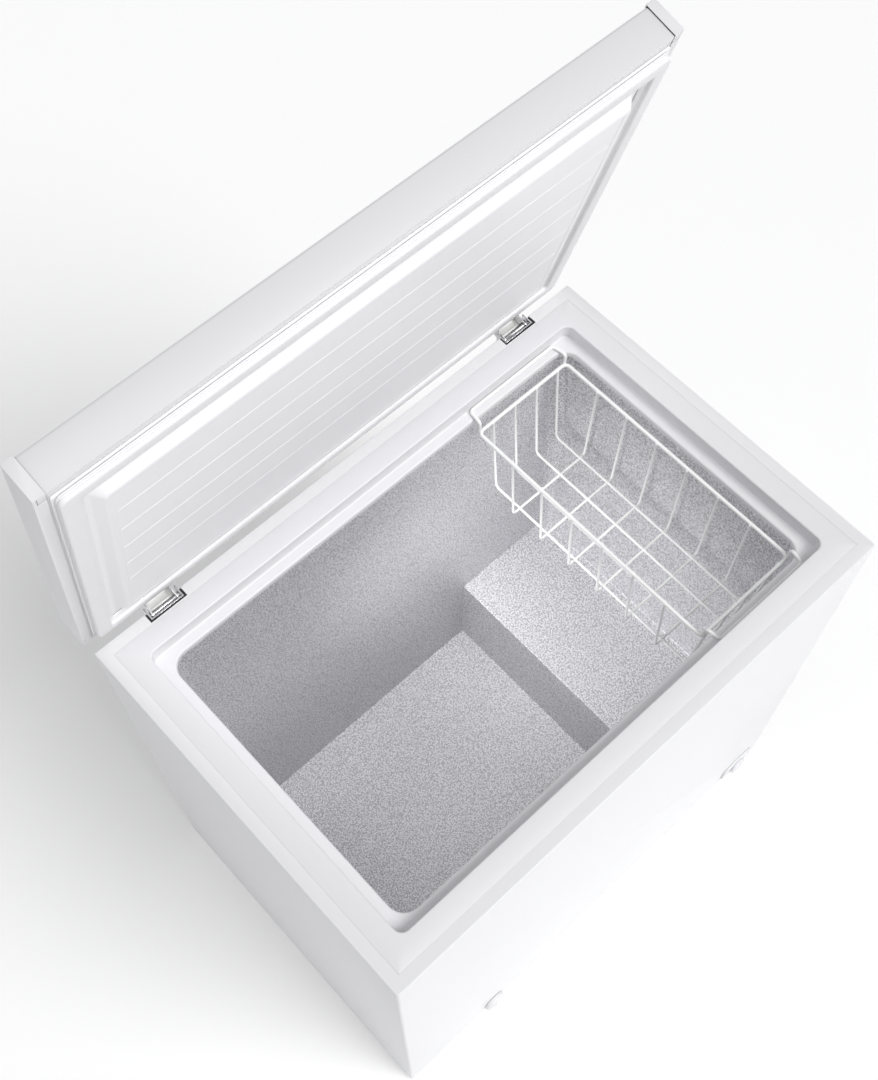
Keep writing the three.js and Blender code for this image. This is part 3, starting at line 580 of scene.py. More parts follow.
def handling_group():
    """Soft smudges, as a mask."""
    group, start, end = new_group("handling", [("Scale", 6), ("Amount", 0.5)], ["Mask"])
    place = group.nodes.new("ShaderNodeTexCoord").outputs["Object"]
    patches = noise(group, place, start.outputs["Scale"], 6, 0.7)
    cut = maths(group, "MULTIPLY", maths(group, "SUBTRACT", patches, 0.48), 4)
    cut_low = maths(group, "MAXIMUM", cut, 0)
    mask = maths(group, "MULTIPLY", maths(group, "MINIMUM", cut_low, 1), start.outputs["Amount"])
    group.links.new(mask, end.inputs["Mask"])
    return group


GROUP_MAKERS = {
    "patchy": patchy_group,
    "peel": peel_group,
    "pebble": pebble_group,
    "handling": handling_group,
}
GROUPS = {}


def placed_group(tree, name, **values):
    """A group node in the tree, with the values given. The group itself is built once."""
    if name not in GROUPS:
        GROUPS[name] = GROUP_MAKERS[name]()
    node = tree.nodes.new("ShaderNodeGroup")
    node.node_tree = GROUPS[name]
    for key, value in values.items():
        node.inputs[key].default_value = value
    return node


def finish(
    name,
    colour,
    rough=(0.3, 0.45),
    metal=0.0,
    patch=20,
    smudge=(0.92, 0.5),
    peel=(300, 0.2),
    pebble=None,
    bump=0.05,
):
    """A material: varied colour and roughness, and a bump of its own scale.

    rough is the range of roughness, patch the scale of its patches, smudge how dark and how much the
    handling marks are, peel (scale, grain) or pebble (size) the surface relief, and bump its height in mm.
    With pebble, shade is also painted into the hollows of the relief, which get a darker colour than its
    tops.
    """
    made = bpy.data.materials.new(name)
    made.use_nodes = True
    tree = made.node_tree
    shader = tree.nodes["Principled BSDF"]
    shader.inputs["Metallic"].default_value = metal
    roughness = placed_group(tree, "patchy", Scale=patch, Low=rough[0], High=rough[1])
    tree.links.new(roughness.outputs["Value"], shader.inputs["Roughness"])
    marks = placed_group(tree, "handling", Scale=patch / 3, Amount=smudge[1])
    mix = tree.nodes.new("ShaderNodeMix")
    mix.data_type = "RGBA"
    mix.inputs["A"].default_value = (*colour, 1)
    mix.inputs["B"].default_value = (*[c * smudge[0] for c in colour], 1)
    tree.links.new(marks.outputs["Mask"], mix.inputs["Factor"])
    tree.links.new(mix.outputs["Result"], shader.inputs["Base Color"])
    if pebble:
        relief = placed_group(tree, "pebble", Size=pebble)
        # Painted shade: the hollows between the pebbles get a darker colour, and the tops keep the full
        # one.
        hollows = tree.nodes.new("ShaderNodeMix")
        hollows.data_type = "RGBA"
        hollows.inputs["A"].default_value = (*[c * HOLLOW_PAINTED_SHADE for c in colour], 1)
        tree.links.new(relief.outputs["Tops"], hollows.inputs["Factor"])
        tree.links.new(mix.outputs["Result"], hollows.inputs["B"])
        tree.links.new(hollows.outputs["Result"], shader.inputs["Base Color"])
    else:
        relief = placed_group(tree, "peel", Scale=peel[0], Grain=peel[1])
    rise = tree.nodes.new("ShaderNodeBump")
    rise.inputs["Strength"].default_value = 1.0
    rise.inputs["Distance"].default_value = bump * MM
    tree.links.new(relief.outputs["Height"], rise.inputs["Height"])
    tree.links.new(rise.outputs["Normal"], shader.inputs["Normal"])
    return made


MATERIALS = {}


def material(name):
    return MATERIALS[name]


SPRAYED = {"rough": (0.3, 0.36), "patch": 5, "smudge": (0.99, 0.5), "peel": (160, 0.03), "bump": 0.006}
MOULDED = {"rough": (0.36, 0.44), "patch": 9, "smudge": (0.99, 0.5), "peel": (400, 0.3), "bump": 0.006}


class FREEZER_OT_finishes(bpy.types.Operator):
    """Makes the materials of all pieces"""

    bl_idname = "freezer.finishes"
    bl_label = "Finishes"

    def whites(self, s):
        """The white enamels, plastics, vinyl and wire coating."""
        return {
            "enamel": finish("enamel", s.enamel, **SPRAYED),
            # painted shade: the lid's enamel is a darker copy of the case's
            "shaded_lid_enamel": finish("shaded_lid_enamel", s.shaded_lid_enamel, **SPRAYED),
            "plastic": finish("moulded_plastic", s.plastic, **MOULDED),
            # painted light: the panel's white is lighter than the rim's plastic
            "panel": finish("lid_panel_plastic_painted_light", s.panel, **MOULDED),
            "seal": finish(
                "seal_vinyl", s.seal, (0.5, 0.62), patch=30, smudge=(0.96, 0.6), peel=(700, 0.5), bump=0.03
            ),
            "wire": finish(
                "wire_coating",
                s.wire,
                (0.3, 0.45),
                patch=40,
                smudge=(0.97, 0.5),
                peel=(900, 0.5),
                bump=0.02,
            ),
        }

    def metals(self, s):
        """The embossed tank, the plated hinges, the bare steel and the copper."""
        chrome, satin = (0.78, 0.78, 0.79), (0.88, 0.88, 0.86)
        steel, copper = (0.58, 0.6, 0.62), (0.72, 0.4, 0.25)
        return {
            "tank": finish(
                "embossed_aluminium",
                s.tank,
                (0.34, 0.44),
                metal=0.5,
                patch=3,
                smudge=(0.97, 0.3),
                pebble=s.emboss_size,
                bump=s.emboss_depth / MM,
            ),
            "chrome": finish("bright_plate", chrome, (0.1, 0.3), metal=1.0, patch=90, bump=0.01),
            "web": finish("satin_plate", satin, (0.4, 0.5), metal=0.5, patch=90, bump=0.01),
            "galvanised": finish(
                "galvanised_steel", steel, (0.3, 0.6), metal=0.9, patch=60, smudge=(0.8, 0.8), bump=0.02
            ),
            "copper": finish(
                "copper_tube", copper, (0.25, 0.5), metal=1.0, patch=50, smudge=(0.6, 0.7), bump=0.02
            ),
        }

    def darks(self):
        """The dark enamel, rubber and plastic, and the foam."""
        black, rubber, dark = (0.02, 0.02, 0.022), (0.025, 0.025, 0.027), (0.05, 0.052, 0.056)
        foam = (0.78, 0.68, 0.38)
        return {
            "black": finish("black_enamel", black, (0.3, 0.5), patch=20, smudge=(1.6, 0.6), bump=0.04),
            "rubber": finish("rubber", rubber, (0.7, 0.9), patch=60, smudge=(1.5, 0.6), bump=0.05),
            "dark": finish("dark_moulding", dark, (0.45, 0.6), patch=40, smudge=(1.3, 0.5), bump=0.04),
            "foam": finish(
                "foam_fill", foam, (0.85, 0.95), patch=40, smudge=(0.8, 0.8), peel=(180, 0.8), bump=0.6
            ),
        }

    def execute(self, context):
        s = context.scene.freezer_finish
        for looks in (self.whites(s), self.metals(s), self.darks()):
            MATERIALS.update(looks)
        return {"FINISHED"}


# ---- stage --------------------------------------------------------------------------------------
CAMERA_AT = Vector((-546.3, -499.1, 2399.8)) * MM
CAMERA_TURN = (26.319, -0.310, -42.954)
CAMERA_SHIFT = (-0.0118, 0.0159)


def tank_light(name, power, at, aim):
    """A soft spot light in the tank, itself unseen, for the faces turned from the key light."""
    bpy.ops.object.light_add(type="SPOT", location=at)
    light = bpy.context.object
    light.name = name
    light.data.energy = power
    light.data.spot_size = math.radians(74)
    light.data.spot_blend = 1
    light.data.shadow_soft_size = 0.08
    light.visible_camera = False
    light.rotation_euler = (Vector(at) - Vector(aim)).to_track_quat("Z", "Y").to_euler()


def soft_light(name, strength, source, spread):
    """A wide, even light that comes from the direction given, with a spread in degrees."""
    at = Vector(source).normalized() * 6
    bpy.ops.object.light_add(type="SUN", location=at)
    light = bpy.context.object
    light.name = name
    light.data.energy = strength
    light.data.angle = math.radians(spread)
    light.rotation_euler = at.to_track_quat("Z", "Y").to_euler()


class FREEZER_OT_stage(bpy.types.Operator):
    """Adds the floor, the lights and the camera"""

    bl_idname = "freezer.stage"
    bl_label = "Stage"

    def floor(self, s):
        """A wide, pale floor with a faint light of its own, just under the feet."""
        bpy.ops.mesh.primitive_plane_add(size=30, location=(0, 0, -0.2 * MM))
        floor = named("floor")
        look = finish(
            "studio_floor", s.floor, (0.75, 0.9), patch=1.5, smudge=(0.99, 0.5), peel=(60, 0.5), bump=0.05
        )
        floor.data.materials.append(look)
        shader = look.node_tree.nodes["Principled BSDF"]
        shader.inputs["Emission Color"].default_value = (1, 1, 1, 1)
        shader.inputs["Emission Strength"].default_value = s.glow

    def surroundings(self, s):
        """Even light from all round, which the camera sees as a pale wall."""
        world = bpy.data.worlds.new("studio")
        world.use_nodes = True
        tree = world.node_tree
        sky = tree.nodes["Background"]
        sky.inputs["Color"].default_value = (0.98, 0.985, 1.0, 1)
        sky.inputs["Strength"].default_value = s.sky
        wall = tree.nodes.new("ShaderNodeBackground")
        wall.inputs["Color"].default_value = (0.99, 0.99, 0.99, 1)
        seen = tree.nodes.new("ShaderNodeLightPath")
        choice = tree.nodes.new("ShaderNodeMixShader")
        tree.links.new(seen.outputs["Is Camera Ray"], choice.inputs["Fac"])
        tree.links.new(sky.outputs["Background"], choice.inputs[1])
        tree.links.new(wall.outputs["Background"], choice.inputs[2])
        tree.links.new(choice.outputs["Shader"], tree.nodes["World Output"].inputs["Surface"])
        return world

    def camera(self, s):
        bpy.ops.object.camera_add(
            location=CAMERA_AT + Vector((0, MID_Y, 0)),
            rotation=[math.radians(angle) for angle in CAMERA_TURN],
        )
        camera = bpy.context.object
        camera.name = "camera"
        camera.data.lens = s.lens
        camera.data.sensor_width = 36
        camera.data.shift_x, camera.data.shift_y = CAMERA_SHIFT
        camera.data.clip_end = 60
        return camera

    def execute(self, context):
        s = context.scene.freezer_stage
        hold(next(iter(frame["nodes"].values())))
        self.floor(s)
        soft_light("key_light", s.key, (0.2, -0.62, 0.77), 34)
        soft_light("fill_light", s.fill, (-0.3, -0.1, 0.95), 30)
        tank_light("tank_light", s.tank, (-0.3, -0.04, 0.72), (0.34, 0.08, 0.38))
        context.scene.world = self.surroundings(s)
        context.scene.camera = self.camera(s)
        context.scene.view_settings.view_transform = "Standard"
        return {"FINISHED"}


# ---- case ---------------------------------------------------------------------------------------
COVER_LAP = 9 * MM  # how far a cover laps over the edge of its opening
SWAGE_X = 0.33  # half the length of the back panel's swages
GLAND_X, GLAND_Z = 0.186, 0.06  # where the mains lead comes out


def in_swage(place, low, high):
    return low < place.z < high and abs(place.x) < SWAGE_X


def hinge_notches():
    """Two cutters that clear the steel round the hinge boxes."""
    low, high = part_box("hinge_box_left")
    middle = abs(low.x + high.x) / 2
    return [
        block(
            "notch",
            (sign * middle - 28 * MM, low.y - HINGE_GAP - 0.1 * MM, low.z - 3 * MM),
            (sign * middle + 28 * MM, 1, 1),
        )
        for sign in SIDES.values()
    ]


class FREEZER_OT_case(bpy.types.Operator):
    """Builds the enamelled wrap and the back panel"""

    bl_idname = "freezer.case"
    bl_label = "Case"

    def wrap(self, s):
        """The front and the sides, with steel turned in round the top, the bottom and the back."""
        wrap = block("case_wrap", (-HALF_W, FRONT_Y, BASE), (HALF_W, BACK_Y, TOP))
        returns = (("z", 1, s.steel_return), ("z", -1, s.steel_return), ("y", 1, 15 * MM))
        for axis, sign, width in returns:
            pick(wrap, "FACE", lambda face: getattr(face.normal, axis) * sign > 0.9)
            bpy.ops.mesh.inset(thickness=width, depth=0)
            bpy.ops.mesh.delete(type="FACE")
        object_mode()
        front = lambda e: edge_along(e, "z") and all(near(v.co.y, FRONT_Y) for v in e.verts)
        round_edges(wrap, front, s.corner, 5)
        folds = lambda e: len(e.link_faces) == 2 and e.calc_face_angle(0) > 1.0
        round_edges(wrap, folds, s.fold, 3)
        modify(wrap, "SOLIDIFY", thickness=s.sheet, offset=-1)
        low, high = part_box("side_grille")
        drain = middle_of("drain_dial")
        dial = middle_of("thermostat_dial")
        carve(
            wrap,
            *hinge_notches(),
            block(
                "opening",
                (HALF_W - 0.02, low.y + COVER_LAP, low.z + COVER_LAP),
                (HALF_W + 0.02, high.y - COVER_LAP, high.z - COVER_LAP),
            ),
            rod("hole", 14 * MM, 0.02, (drain.x, FRONT_Y, drain.z), "y"),
            rod("hole", 13 * MM, 0.02, (dial.x, FRONT_Y, dial.z), "y"),
        )
        placed(wrap, "cabinet", material("enamel"), "outer_wrap", smooth=30)

    def back(self, s):
        """The sheet let into the back, with three low swages across it."""
        sheet_y = BACK_Y - s.sheet - 0.3 * MM
        edge = 1.5 * MM
        panel = block(
            "back_sheet",
            (-HALF_W + edge, sheet_y - s.sheet, BASE + edge),
            (HALF_W - edge, sheet_y, TOP - edge),
        )
        drop_faces(panel, lambda face: face.normal.y < 0.9)
        swages = [(z - 12 * MM, z + 12 * MM) for z in (0.3, 0.42, 0.54)]
        cuts = [("x", -SWAGE_X), ("x", SWAGE_X)] + [("z", z) for pair in swages for z in pair]
        for axis, at in cuts:
            pick(panel, "FACE", lambda face: True)
            plane = Vector([float(axis == name) for name in "xyz"])
            bpy.ops.mesh.bisect(plane_co=plane * at, plane_no=plane)
        for low, high in swages:
            pick(panel, "FACE", lambda face: in_swage(face.calc_center_median(), low, high))
            bpy.ops.mesh.inset(thickness=3 * MM, depth=0.7 * MM)
            bpy.ops.mesh.inset(thickness=1.2 * MM, depth=0.2 * MM)
        object_mode()
        modify(panel, "SOLIDIFY", thickness=s.sheet, offset=-1)
        low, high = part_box("rear_cover")
        carve(
            panel,
            *hinge_notches(),
            block(
                "opening",
                (low.x + COVER_LAP, sheet_y - 0.02, low.z + COVER_LAP),
                (high.x - COVER_LAP, sheet_y + 0.02, high.z - COVER_LAP),
            ),
            rod("hole", 11 * MM, 0.03, (GLAND_X, sheet_y, GLAND_Z), "y"),
        )
        placed(panel, "cabinet", material("enamel"), "back_panel", smooth=30)

    def execute(self, context):
        s = context.scene.freezer_case
        self.wrap(s)
        self.back(s)
        return {"FINISHED"}


class FREEZER_OT_rim(bpy.types.Operator):
    """Builds the moulded rim with its ledge and mouth"""

    bl_idname = "freezer.rim"
    bl_label = "Rim"

    def execute(self, context):
        s = context.scene.freezer_case
        low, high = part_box("top_collar")
        half_x = high.x
        half_y = (high.y - low.y) / 2
        recess_x, recess_y, recess_r = 361 * MM, 229.5 * MM, 12 * MM
        mouth_x, mouth_y, mouth_r = 345.4 * MM, 214.4 * MM, 24 * MM
        ledge = TOP - 22 * MM
        levels = [
            (half_x + 0.3 * MM, half_y + 0.3 * MM, 1 * MM, TOP - 2.4 * MM),
            (half_x + 0.3 * MM, half_y + 0.3 * MM, 1 * MM, TOP - 0.35 * MM),
            (half_x + 0.15 * MM, half_y + 0.15 * MM, 1 * MM, TOP - 0.15 * MM),
            (half_x - 0.2 * MM, half_y - 0.2 * MM, 1 * MM, TOP - APART),
        ]
        r = s.recess_round  # over the edge of the recess
        for sine, cosine in quarter(6):
            out = r * (1 - sine)
            levels.append((recess_x + out, recess_y + out, recess_r + out, TOP - APART - r * (1 - cosine)))
        r = 1.8 * MM  # from the recess wall into the ledge
        for sine, cosine in quarter(4):
            out = r * (1 - cosine)
            levels.append((recess_x - out, recess_y - out, recess_r - out, ledge + r * (1 - sine)))
        r = s.mouth_round  # over the edge of the mouth
        for sine, cosine in quarter(6):
            out = r * (1 - sine)
            levels.append((mouth_x + out, mouth_y + out, mouth_r + out, ledge - r * (1 - cosine)))
        levels.append((mouth_x, mouth_y, mouth_r, ledge - 8.8 * MM))
        rim = loft("rim_moulding", levels, segments=10)
        turn_faces(rim, max, up=True)
        modify(rim, "SOLIDIFY", thickness=1.6 * MM, offset=-1)
        placed(rim, "cabinet", material("plastic"), "top_collar", smooth=50)
        return {"FINISHED"}


class FREEZER_OT_tank(bpy.types.Operator):
    """Builds the embossed tank with the step over the compressor"""

    bl_idname = "freezer.tank"
    bl_label = "Tank"

    def execute(self, context):
        s = context.scene.freezer_case
        low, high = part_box("liner_tank")
        wall = 1 * MM
        step_x, step_z = 162 * MM, 256 * MM
        inner_low = low + Vector((wall, wall, wall))
        inner_high = high - Vector((wall, wall, 0))
        tank = block("tank", inner_low, inner_high)
        step_low = (step_x, inner_low.y - 0.1, inner_low.z - 0.1)
        carve(tank, block("step", step_low, (1, inner_high.y + 0.1, step_z)))
        mouth = lambda face: near(face.calc_center_median().z, inner_high.z)
        drop_faces(tank, lambda face: face.normal.z > 0.9 and mouth(face))
        corner = lambda e: edge_along(e, "z") and not near(e.verts[0].co.x, step_x)
        round_edges(tank, corner, s.tank_corner, 10)
        folds = lambda e: len(e.link_faces) == 2 and e.calc_face_angle(0) > 0.6
        round_edges(tank, folds, s.tank_fold, 3)
        face_out(tank)
        turn_faces(tank, min, up=True)
        modify(tank, "SOLIDIFY", thickness=wall * 0.9, offset=-1)
        plug = middle_of("drain_plug")
        carve(tank, rod("hole", 11 * MM, 0.02, (plug.x, plug.y, inner_low.z), "z"))
        placed(tank, "cabinet", material("tank"), "liner_tank", smooth=40)
        return {"FINISHED"}


# ---- lid ----------------------------------------------------------------------------------------
def at_crown(edge, crown):
    return all(near(shut(v.co).z, crown) for v in edge.verts)


class FREEZER_OT_lid(bpy.types.Operator):
    """Builds the lid's skin, end caps, inner panel and seal"""

    bl_idname = "freezer.lid"
    bl_label = "Lid"

    def skin(self, s):
        skin = merged_copy("lid_skin")
        crown = max(shut(v.co).z for v in skin.data.vertices)
        long = lambda e: edge_along(e, "x") and e.calc_length() > 0.5
        round_edges(skin, lambda e: long(e) and at_crown(e, crown), s.crown, 5)
        soften(skin, 0.35 * MM)
        # The lid's skin gets the darker copy of the case's enamel, which is painted shade.
        placed(skin, "lid", material("shaded_lid_enamel"), "lid_skin")

    def cap(self, s, side):
        cap = merged_copy(f"lid_end_cap_{side}")
        crown = max(shut(v.co).z for v in cap.data.vertices)
        round_edges(cap, lambda e: e.calc_length() > 0.2 and at_crown(e, crown), s.crown * 0.6, 4)
        soften(cap, 0.5 * MM)
        placed(cap, "lid", material("plastic"), f"lid_end_cap_{side}")

    def panel(self, s):
        """The inner panel: a flange, a raised plug with a lip round its face, and long grooves."""
        face = LID_PLANE - 14 * MM
        base = LID_PLANE - 0.4 * MM
        flange_x, flange_y = 393.4 * MM, 267.4 * MM
        plug_x, plug_y, plug_r = 347 * MM, 213 * MM, 8 * MM
        foot_x, foot_y = plug_x + s.plug_slope, plug_y + s.plug_slope
        levels = [
            (flange_x, flange_y, 2 * MM, base + 0.3 * MM),
            (flange_x, flange_y, 2 * MM, base - 1.4 * MM),
            (flange_x - 0.5 * MM, flange_y - 0.5 * MM, 2 * MM, base - 1.9 * MM),
            (foot_x + 2 * MM, foot_y + 2 * MM, plug_r + 7 * MM, base - 2 * MM),
            (foot_x + 0.6 * MM, foot_y + 0.6 * MM, plug_r + 6 * MM, base - 2.3 * MM),
            (foot_x - 0.5 * MM, foot_y - 0.5 * MM, plug_r + 5 * MM, base - 3.2 * MM),
            (plug_x + 2 * MM, plug_y + 2 * MM, plug_r + 1.5 * MM, face + 1.9 * MM),
            (plug_x + 0.4 * MM, plug_y + 0.4 * MM, plug_r + 0.6 * MM, face + 0.5 * MM),
            (plug_x - 1.4 * MM, plug_y - 1.4 * MM, plug_r, face),
            (plug_x - 7 * MM, plug_y - 7 * MM, plug_r - 2 * MM, face),
            (plug_x - 8 * MM, plug_y - 8 * MM, plug_r - 2 * MM, face + 0.7 * MM),
            (plug_x - 10 * MM, plug_y - 10 * MM, plug_r - 3 * MM, face + 0.9 * MM),
        ]
        panel = loft("lid_panel", levels, floor=True)
        turn_faces(panel, min, up=False)
        for i in range(5):
            y = MID_Y - 150 * MM + i * 62 * MM
            for edge in (y - s.groove / 2, y, y + s.groove / 2):
                pick(panel, "FACE", lambda part: part.normal.z < -0.9 and part.calc_area() > 0.02)
                bpy.ops.mesh.bisect(plane_co=(0, edge, 0), plane_no=(0, 1, 0), threshold=1e-6)
            pick(panel, "EDGE", lambda e: edge_along(e, "x") and edge_at(e, y=y))
            bpy.ops.transform.translate(value=(0, 0, s.groove_depth))
        object_mode()
        modify(panel, "SOLIDIFY", thickness=1.4 * MM, offset=-1)
        swing(panel)
        # The panel's plastic is coloured lighter than the rim's, which is painted light.
        placed(panel, "lid", material("panel"), "lid_liner", smooth=30)

    def seal(self, s):
        """The soft seal. Its section is a row of points: how far in, in mm, and how high."""
        low = TOP + 0.5 * MM
        high = LID_PLANE - 2.9 * MM
        half_x, half_y, width = 391 * MM, 265 * MM, s.seal_width / MM
        section = [
            (0, high),
            (0, high - 1.5 * MM),
            (1.6, high - 2.2 * MM),
            (1.6, high - 3.4 * MM),
            (0.2, high - 4.2 * MM),
            (0.2, low + 1.6 * MM),
            (1.2, low + 0.3 * MM),
            (3.0, low),
            (width - 9, low),
            (width - 7, low + 0.4 * MM),
            (width - 6.2, low + 1.6 * MM),
            (width - 6.2, high - 4.4 * MM),
            (width - 4, high - 3.2 * MM),
            (width - 0.6, high - 1.8 * MM),
            (width, high - 0.8 * MM),
            (width - 0.2, high),
        ]
        levels = [(half_x - d * MM, half_y - d * MM, max(9 - d * 0.2, 3) * MM, z) for d, z in section]
        seal = loft("lid_seal", levels, closed=True, segments=5)
        swing(seal)
        placed(seal, "lid", material("seal"), "lid_gasket", smooth=50)

    def execute(self, context):
        s = context.scene.freezer_lid
        self.skin(s)
        for side in SIDES:
            self.cap(s, side)
        self.panel(s)
        self.seal(s)
        return {"FINISHED"}


class FREEZER_OT_hinges(bpy.types.Operator):
    """Finishes the two hinges"""

    bl_idname = "freezer.hinges"
    bl_label = "Hinges"

    def web(self, middle):
        """The satin plate between the cheeks of a leaf."""
        axis_y, axis_z = HINGE["pos_m"][1:]
        web = block(
            "hinge_web_left",
            (middle - LEAF_ROOM / 2, axis_y + 6 * MM, axis_z + 5 * MM),
            (middle + LEAF_ROOM / 2, axis_y + 7.6 * MM, LID_PLANE - 2.6 * MM),
        )
        pick(web, "FACE", lambda face: face.normal.y < -0.9)
        bpy.ops.mesh.inset(thickness=3.2 * MM, depth=0)
        bpy.ops.mesh.inset(thickness=0.5 * MM, depth=-0.8 * MM)
        object_mode()
        soften(web, 0.3 * MM)
        swing(web)
        return web

    def slider(self, low, middle):
        """The dark block on top of the spring."""
        axis_z = HINGE["pos_m"][2]
        half = LEAF_ROOM / 2 - 0.4 * MM
        slider = block(
            "hinge_slider_left",
            (middle - half, low.y + 5.8 * MM, axis_z - 14 * MM),
            (middle + half, low.y + 18.6 * MM, axis_z - 10.8 * MM),
        )
        pick(slider, "FACE", lambda face: face.normal.z > 0.9)
        bpy.ops.mesh.inset(thickness=2.2 * MM, depth=0)
        bpy.ops.mesh.inset(thickness=0.5 * MM, depth=-0.9 * MM)
        object_mode()
        soften(slider, 0.4 * MM)
        return slider

    def shade_pocket(self, low, high):
        """A black lining round a hinge box: painted shade, whose black stands for the shade in the gap
        round the box.
        """
        shade_pocket = block(
            "hinge_pocket_left",
            (low.x - 2.7 * MM, low.y - HINGE_GAP, low.z - 2.7 * MM),
            (high.x + 2.7 * MM, high.y - 14 * MM, TOP - 1.6 * MM),
        )
        hollow = block(
            "hollow",
            (low.x - 0.2 * MM, low.y - 0.2 * MM, low.z - 0.2 * MM),
            (high.x + 0.2 * MM, high.y + 1 * MM, TOP + 1 * MM),
        )
        carve(shade_pocket, hollow)
        return shade_pocket

    def execute(self, context):
        for side in SIDES:
            for part, width in (("box", 0.5), ("leaf", 0.5), ("pin", 0.3)):
                rounded_copy(f"hinge_{part}_{side}", material("chrome"), width * MM)
            rounded_copy(f"hinge_spring_{side}", material("galvanised"), 0)
        low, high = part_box("hinge_box_left")
        middle = (low.x + high.x) / 2
        across = middle_of("hinge_box_right") - middle_of("hinge_box_left")
        for piece, body, look, slot in (
            (self.web(middle), "lid", "web", "chrome"),
            (self.slider(low, middle), "cabinet", "black", "black_metal"),
            # painted shade: the black lining round each hinge box stands for the shade in the gap round it
            (self.shade_pocket(low, high), "cabinet", "black", "black_metal"),
        ):
            twin = repeat(piece, piece.name.replace("left", "right"), across)
            for made in (piece, twin):
                placed(made, body, material(look), slot=slot)
        return {"FINISHED"}


# ---- basket -------------------------------------------------------------------------------------
class FREEZER_OT_basket(bpy.types.Operator):
    """Builds the hanging basket from its bent wires"""

    bl_idname = "freezer.basket"
    bl_label = "Basket"

    def row(self, s, nodes, corners):
        """A row of like wires: the first is bent, and the others are copies of it."""
        first = bent_wire(nodes[0] + "_wire", corners, s.net_wire, s.bend, s.sides)
        wires = [first]
        for node in nodes[1:]:
            wires.append(repeat(first, node + "_wire", middle_of(node) - middle_of(nodes[0])))
        for wire, node in zip(wires, nodes):
            placed(wire, "basket", material("wire"), node, smooth=60)

    def net(self, s, x0, x1, y0, y1, z):
        """Six wires across the basket and four along it, each hung from the rim."""
        into_rim = s.rim_wire * 0.7
        top = z + 1 * MM
        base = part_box("basket_cross_1")[0].z + s.net_wire
        y = middle_of("basket_cross_1").y
        across = [
            (x0 + into_rim, y, top),
            (x0 + 13 * MM, y, base),
            (x1 - 8 * MM, y, base),
            (x1 - into_rim, y, top),
        ]
        self.row(s, [f"basket_cross_{i}" for i in range(1, 7)], across)
        x = middle_of("basket_long_1").x
        over = base + 1.9 * s.net_wire
        along = [
            (x, y0 + into_rim, top),
            (x, y0 + 15.5 * MM, over),
            (x, y1 - 15.5 * MM, over),
            (x, y1 - into_rim, top),
        ]
        self.row(s, [f"basket_long_{i}" for i in range(1, 5)], along)

    def hanger(self, s, end, leg, sign):
        """The wire at one end that hangs on the ledge. Sign says which way the ledge is."""
        node = f"basket_hanger_{end}"
        r = s.hanger_wire
        low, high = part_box(node)
        ledge = high.z - r
        foot = low.z - 1.2 * MM
        out = (high.y - r) if sign > 0 else (low.y + r)
        left, right = low.x + r, high.x - r
        corners = [
            (left, leg, foot),
            (left, leg, ledge),
            (left + 2 * MM, out, ledge),
            (right - 4 * MM, out, ledge),
            (right, leg, ledge),
            (right, leg, foot),
        ]
        wire = bent_wire(node + "_wire", corners, r, 6 * MM, s.sides)
        placed(wire, "basket", material("wire"), node, smooth=60)

    def execute(self, context):
        s = context.scene.freezer_basket
        low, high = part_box("basket_rim")
        r = s.rim_wire
        x0, x1 = low.x + r, high.x - r
        y0, y1 = low.y + r, high.y - r
        z = (low.z + high.z) / 2
        bpy.ops.object.select_all(action="DESELECT")
        loop = [(x0, y0, z), (x1, y0, z), (x1, y1, z), (x0, y1, z), (x0, y0, z)]
        rim = bent_wire("basket_rim_wire", loop, r, s.bend, s.sides, closed=True)
        placed(rim, "basket", material("wire"), "basket_rim", smooth=60)
        self.net(s, x0, x1, y0, y1, z)
        self.hanger(s, "back", y1 + 1 * MM, 1)
        self.hanger(s, "front", y0 - 1 * MM, -1)
        return {"FINISHED"}


# ---- controls, covers and the rest --------------------------------------------------------------
class FREEZER_OT_controls(bpy.types.Operator):
    """Finishes the temperature dial, the drain and the covers"""

    bl_idname = "freezer.controls"
    bl_label = "Controls and covers"

    def execute(self, context):
        for node in ("thermostat_bezel", "thermostat_dial", "drain_dial", "drain_spout", "side_grille"):
            rounded_copy(node, material("plastic"), 0.4 * MM)
        rounded_copy("rear_cover", material("galvanised"), 0.25 * MM)
        feet = [f"foot_{end}_{side}" for end in ("front", "back") for side in SIDES]
        for node in ("cord_gland", *feet):
            rounded_copy(node, material("dark"), 0.5 * MM)
        rounded_copy("drain_plug", material("rubber"), 0.5 * MM)
        rounded_copy("compressor", material("black"), 1.0 * MM)
        rounded_copy("relay_cover", material("dark"), 2.0 * MM, segments=3)
        return {"FINISHED"}


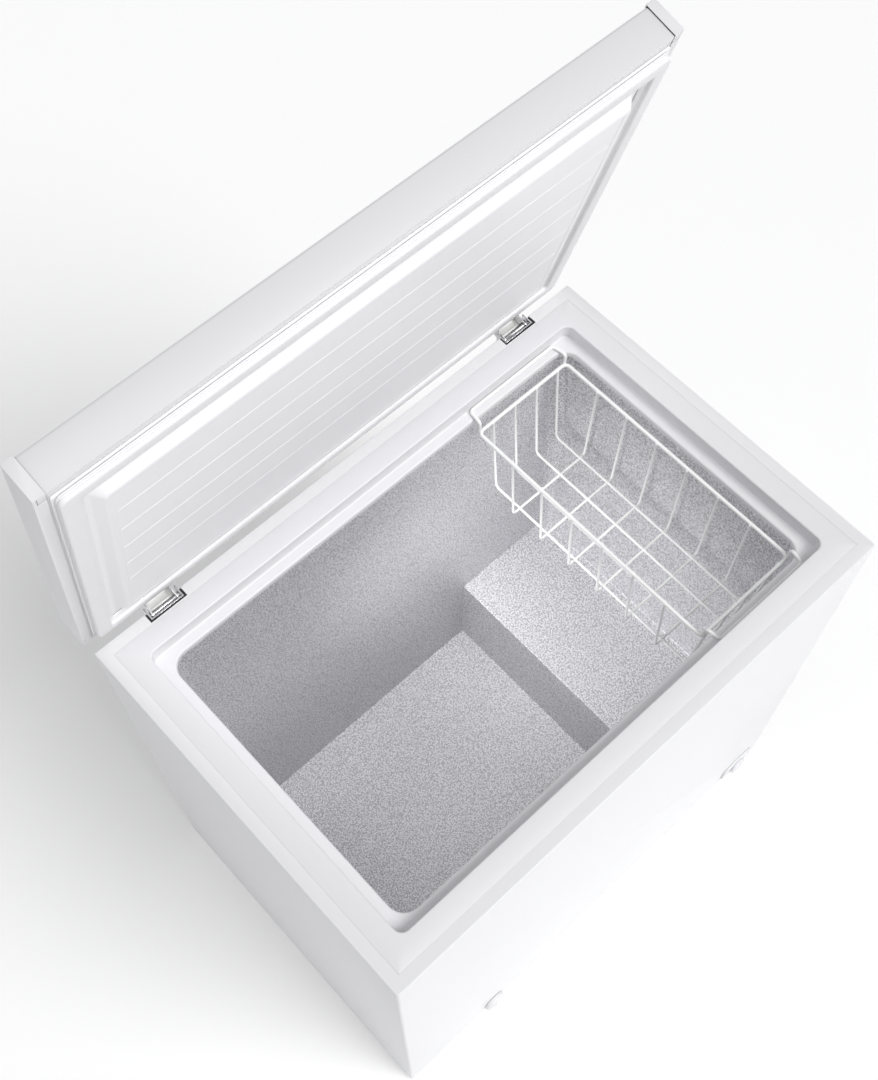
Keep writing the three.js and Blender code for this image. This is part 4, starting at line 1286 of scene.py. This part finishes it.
CARRIED = {
    "galvanised": ("base_pan", "bay_partition", "compressor_tray"),
    "foam": ("cabinet_foam", "lid_foam"),
    "copper": ("filter_drier", "suction_tube", "discharge_tube", "evaporator_coil", "condenser_coil"),
    "rubber": ("grommet_1", "grommet_2", "grommet_3", "grommet_4"),
    "dark": ("thermostat_body",),
    "plastic": ("drain_pipe",),
}


class FREEZER_OT_carried(bpy.types.Operator):
    """Gives the pieces that keep their CAD shape their finish"""

    bl_idname = "freezer.carried"
    bl_label = "Carried pieces"

    def execute(self, context):
        for name, nodes in CARRIED.items():
            for node in nodes:
                obj = frame["nodes"][node]
                obj.data.materials.clear()
                obj.data.materials.append(material(name))
        return {"FINISHED"}


STEPS = (
    FREEZER_OT_finishes,
    FREEZER_OT_stage,
    FREEZER_OT_case,
    FREEZER_OT_rim,
    FREEZER_OT_tank,
    FREEZER_OT_lid,
    FREEZER_OT_hinges,
    FREEZER_OT_basket,
    FREEZER_OT_controls,
    FREEZER_OT_carried,
)


class FREEZER_PT_panel(bpy.types.Panel):
    """Lists the steps and the sizes"""

    bl_idname = "FREEZER_PT_panel"
    bl_label = "Chest freezer"
    bl_space_type = "VIEW_3D"
    bl_region_type = "UI"
    bl_category = "Freezer"

    def draw(self, context):
        layout = self.layout
        for step in STEPS:
            layout.operator(step.bl_idname)
        for name in SETTINGS:
            box = layout.box()
            group = getattr(context.scene, name)
            for key in group.__annotations__:
                box.prop(group, key)


SETTINGS = {
    "freezer_case": CaseSettings,
    "freezer_lid": LidSettings,
    "freezer_basket": BasketSettings,
    "freezer_finish": FinishSettings,
    "freezer_stage": StageSettings,
}


def register():
    for kind in (*SETTINGS.values(), *STEPS, FREEZER_PT_panel):
        bpy.utils.register_class(kind)
    for name, kind in SETTINGS.items():
        setattr(bpy.types.Scene, name, PointerProperty(type=kind))


def unregister():
    for name in SETTINGS:
        delattr(bpy.types.Scene, name)
    for kind in reversed((*SETTINGS.values(), *STEPS, FREEZER_PT_panel)):
        bpy.utils.unregister_class(kind)


def main():
    register()
    for step in STEPS:
        group, name = step.bl_idname.split(".")
        getattr(getattr(bpy.ops, group), name)()


if __name__ == "__main__":
    main()
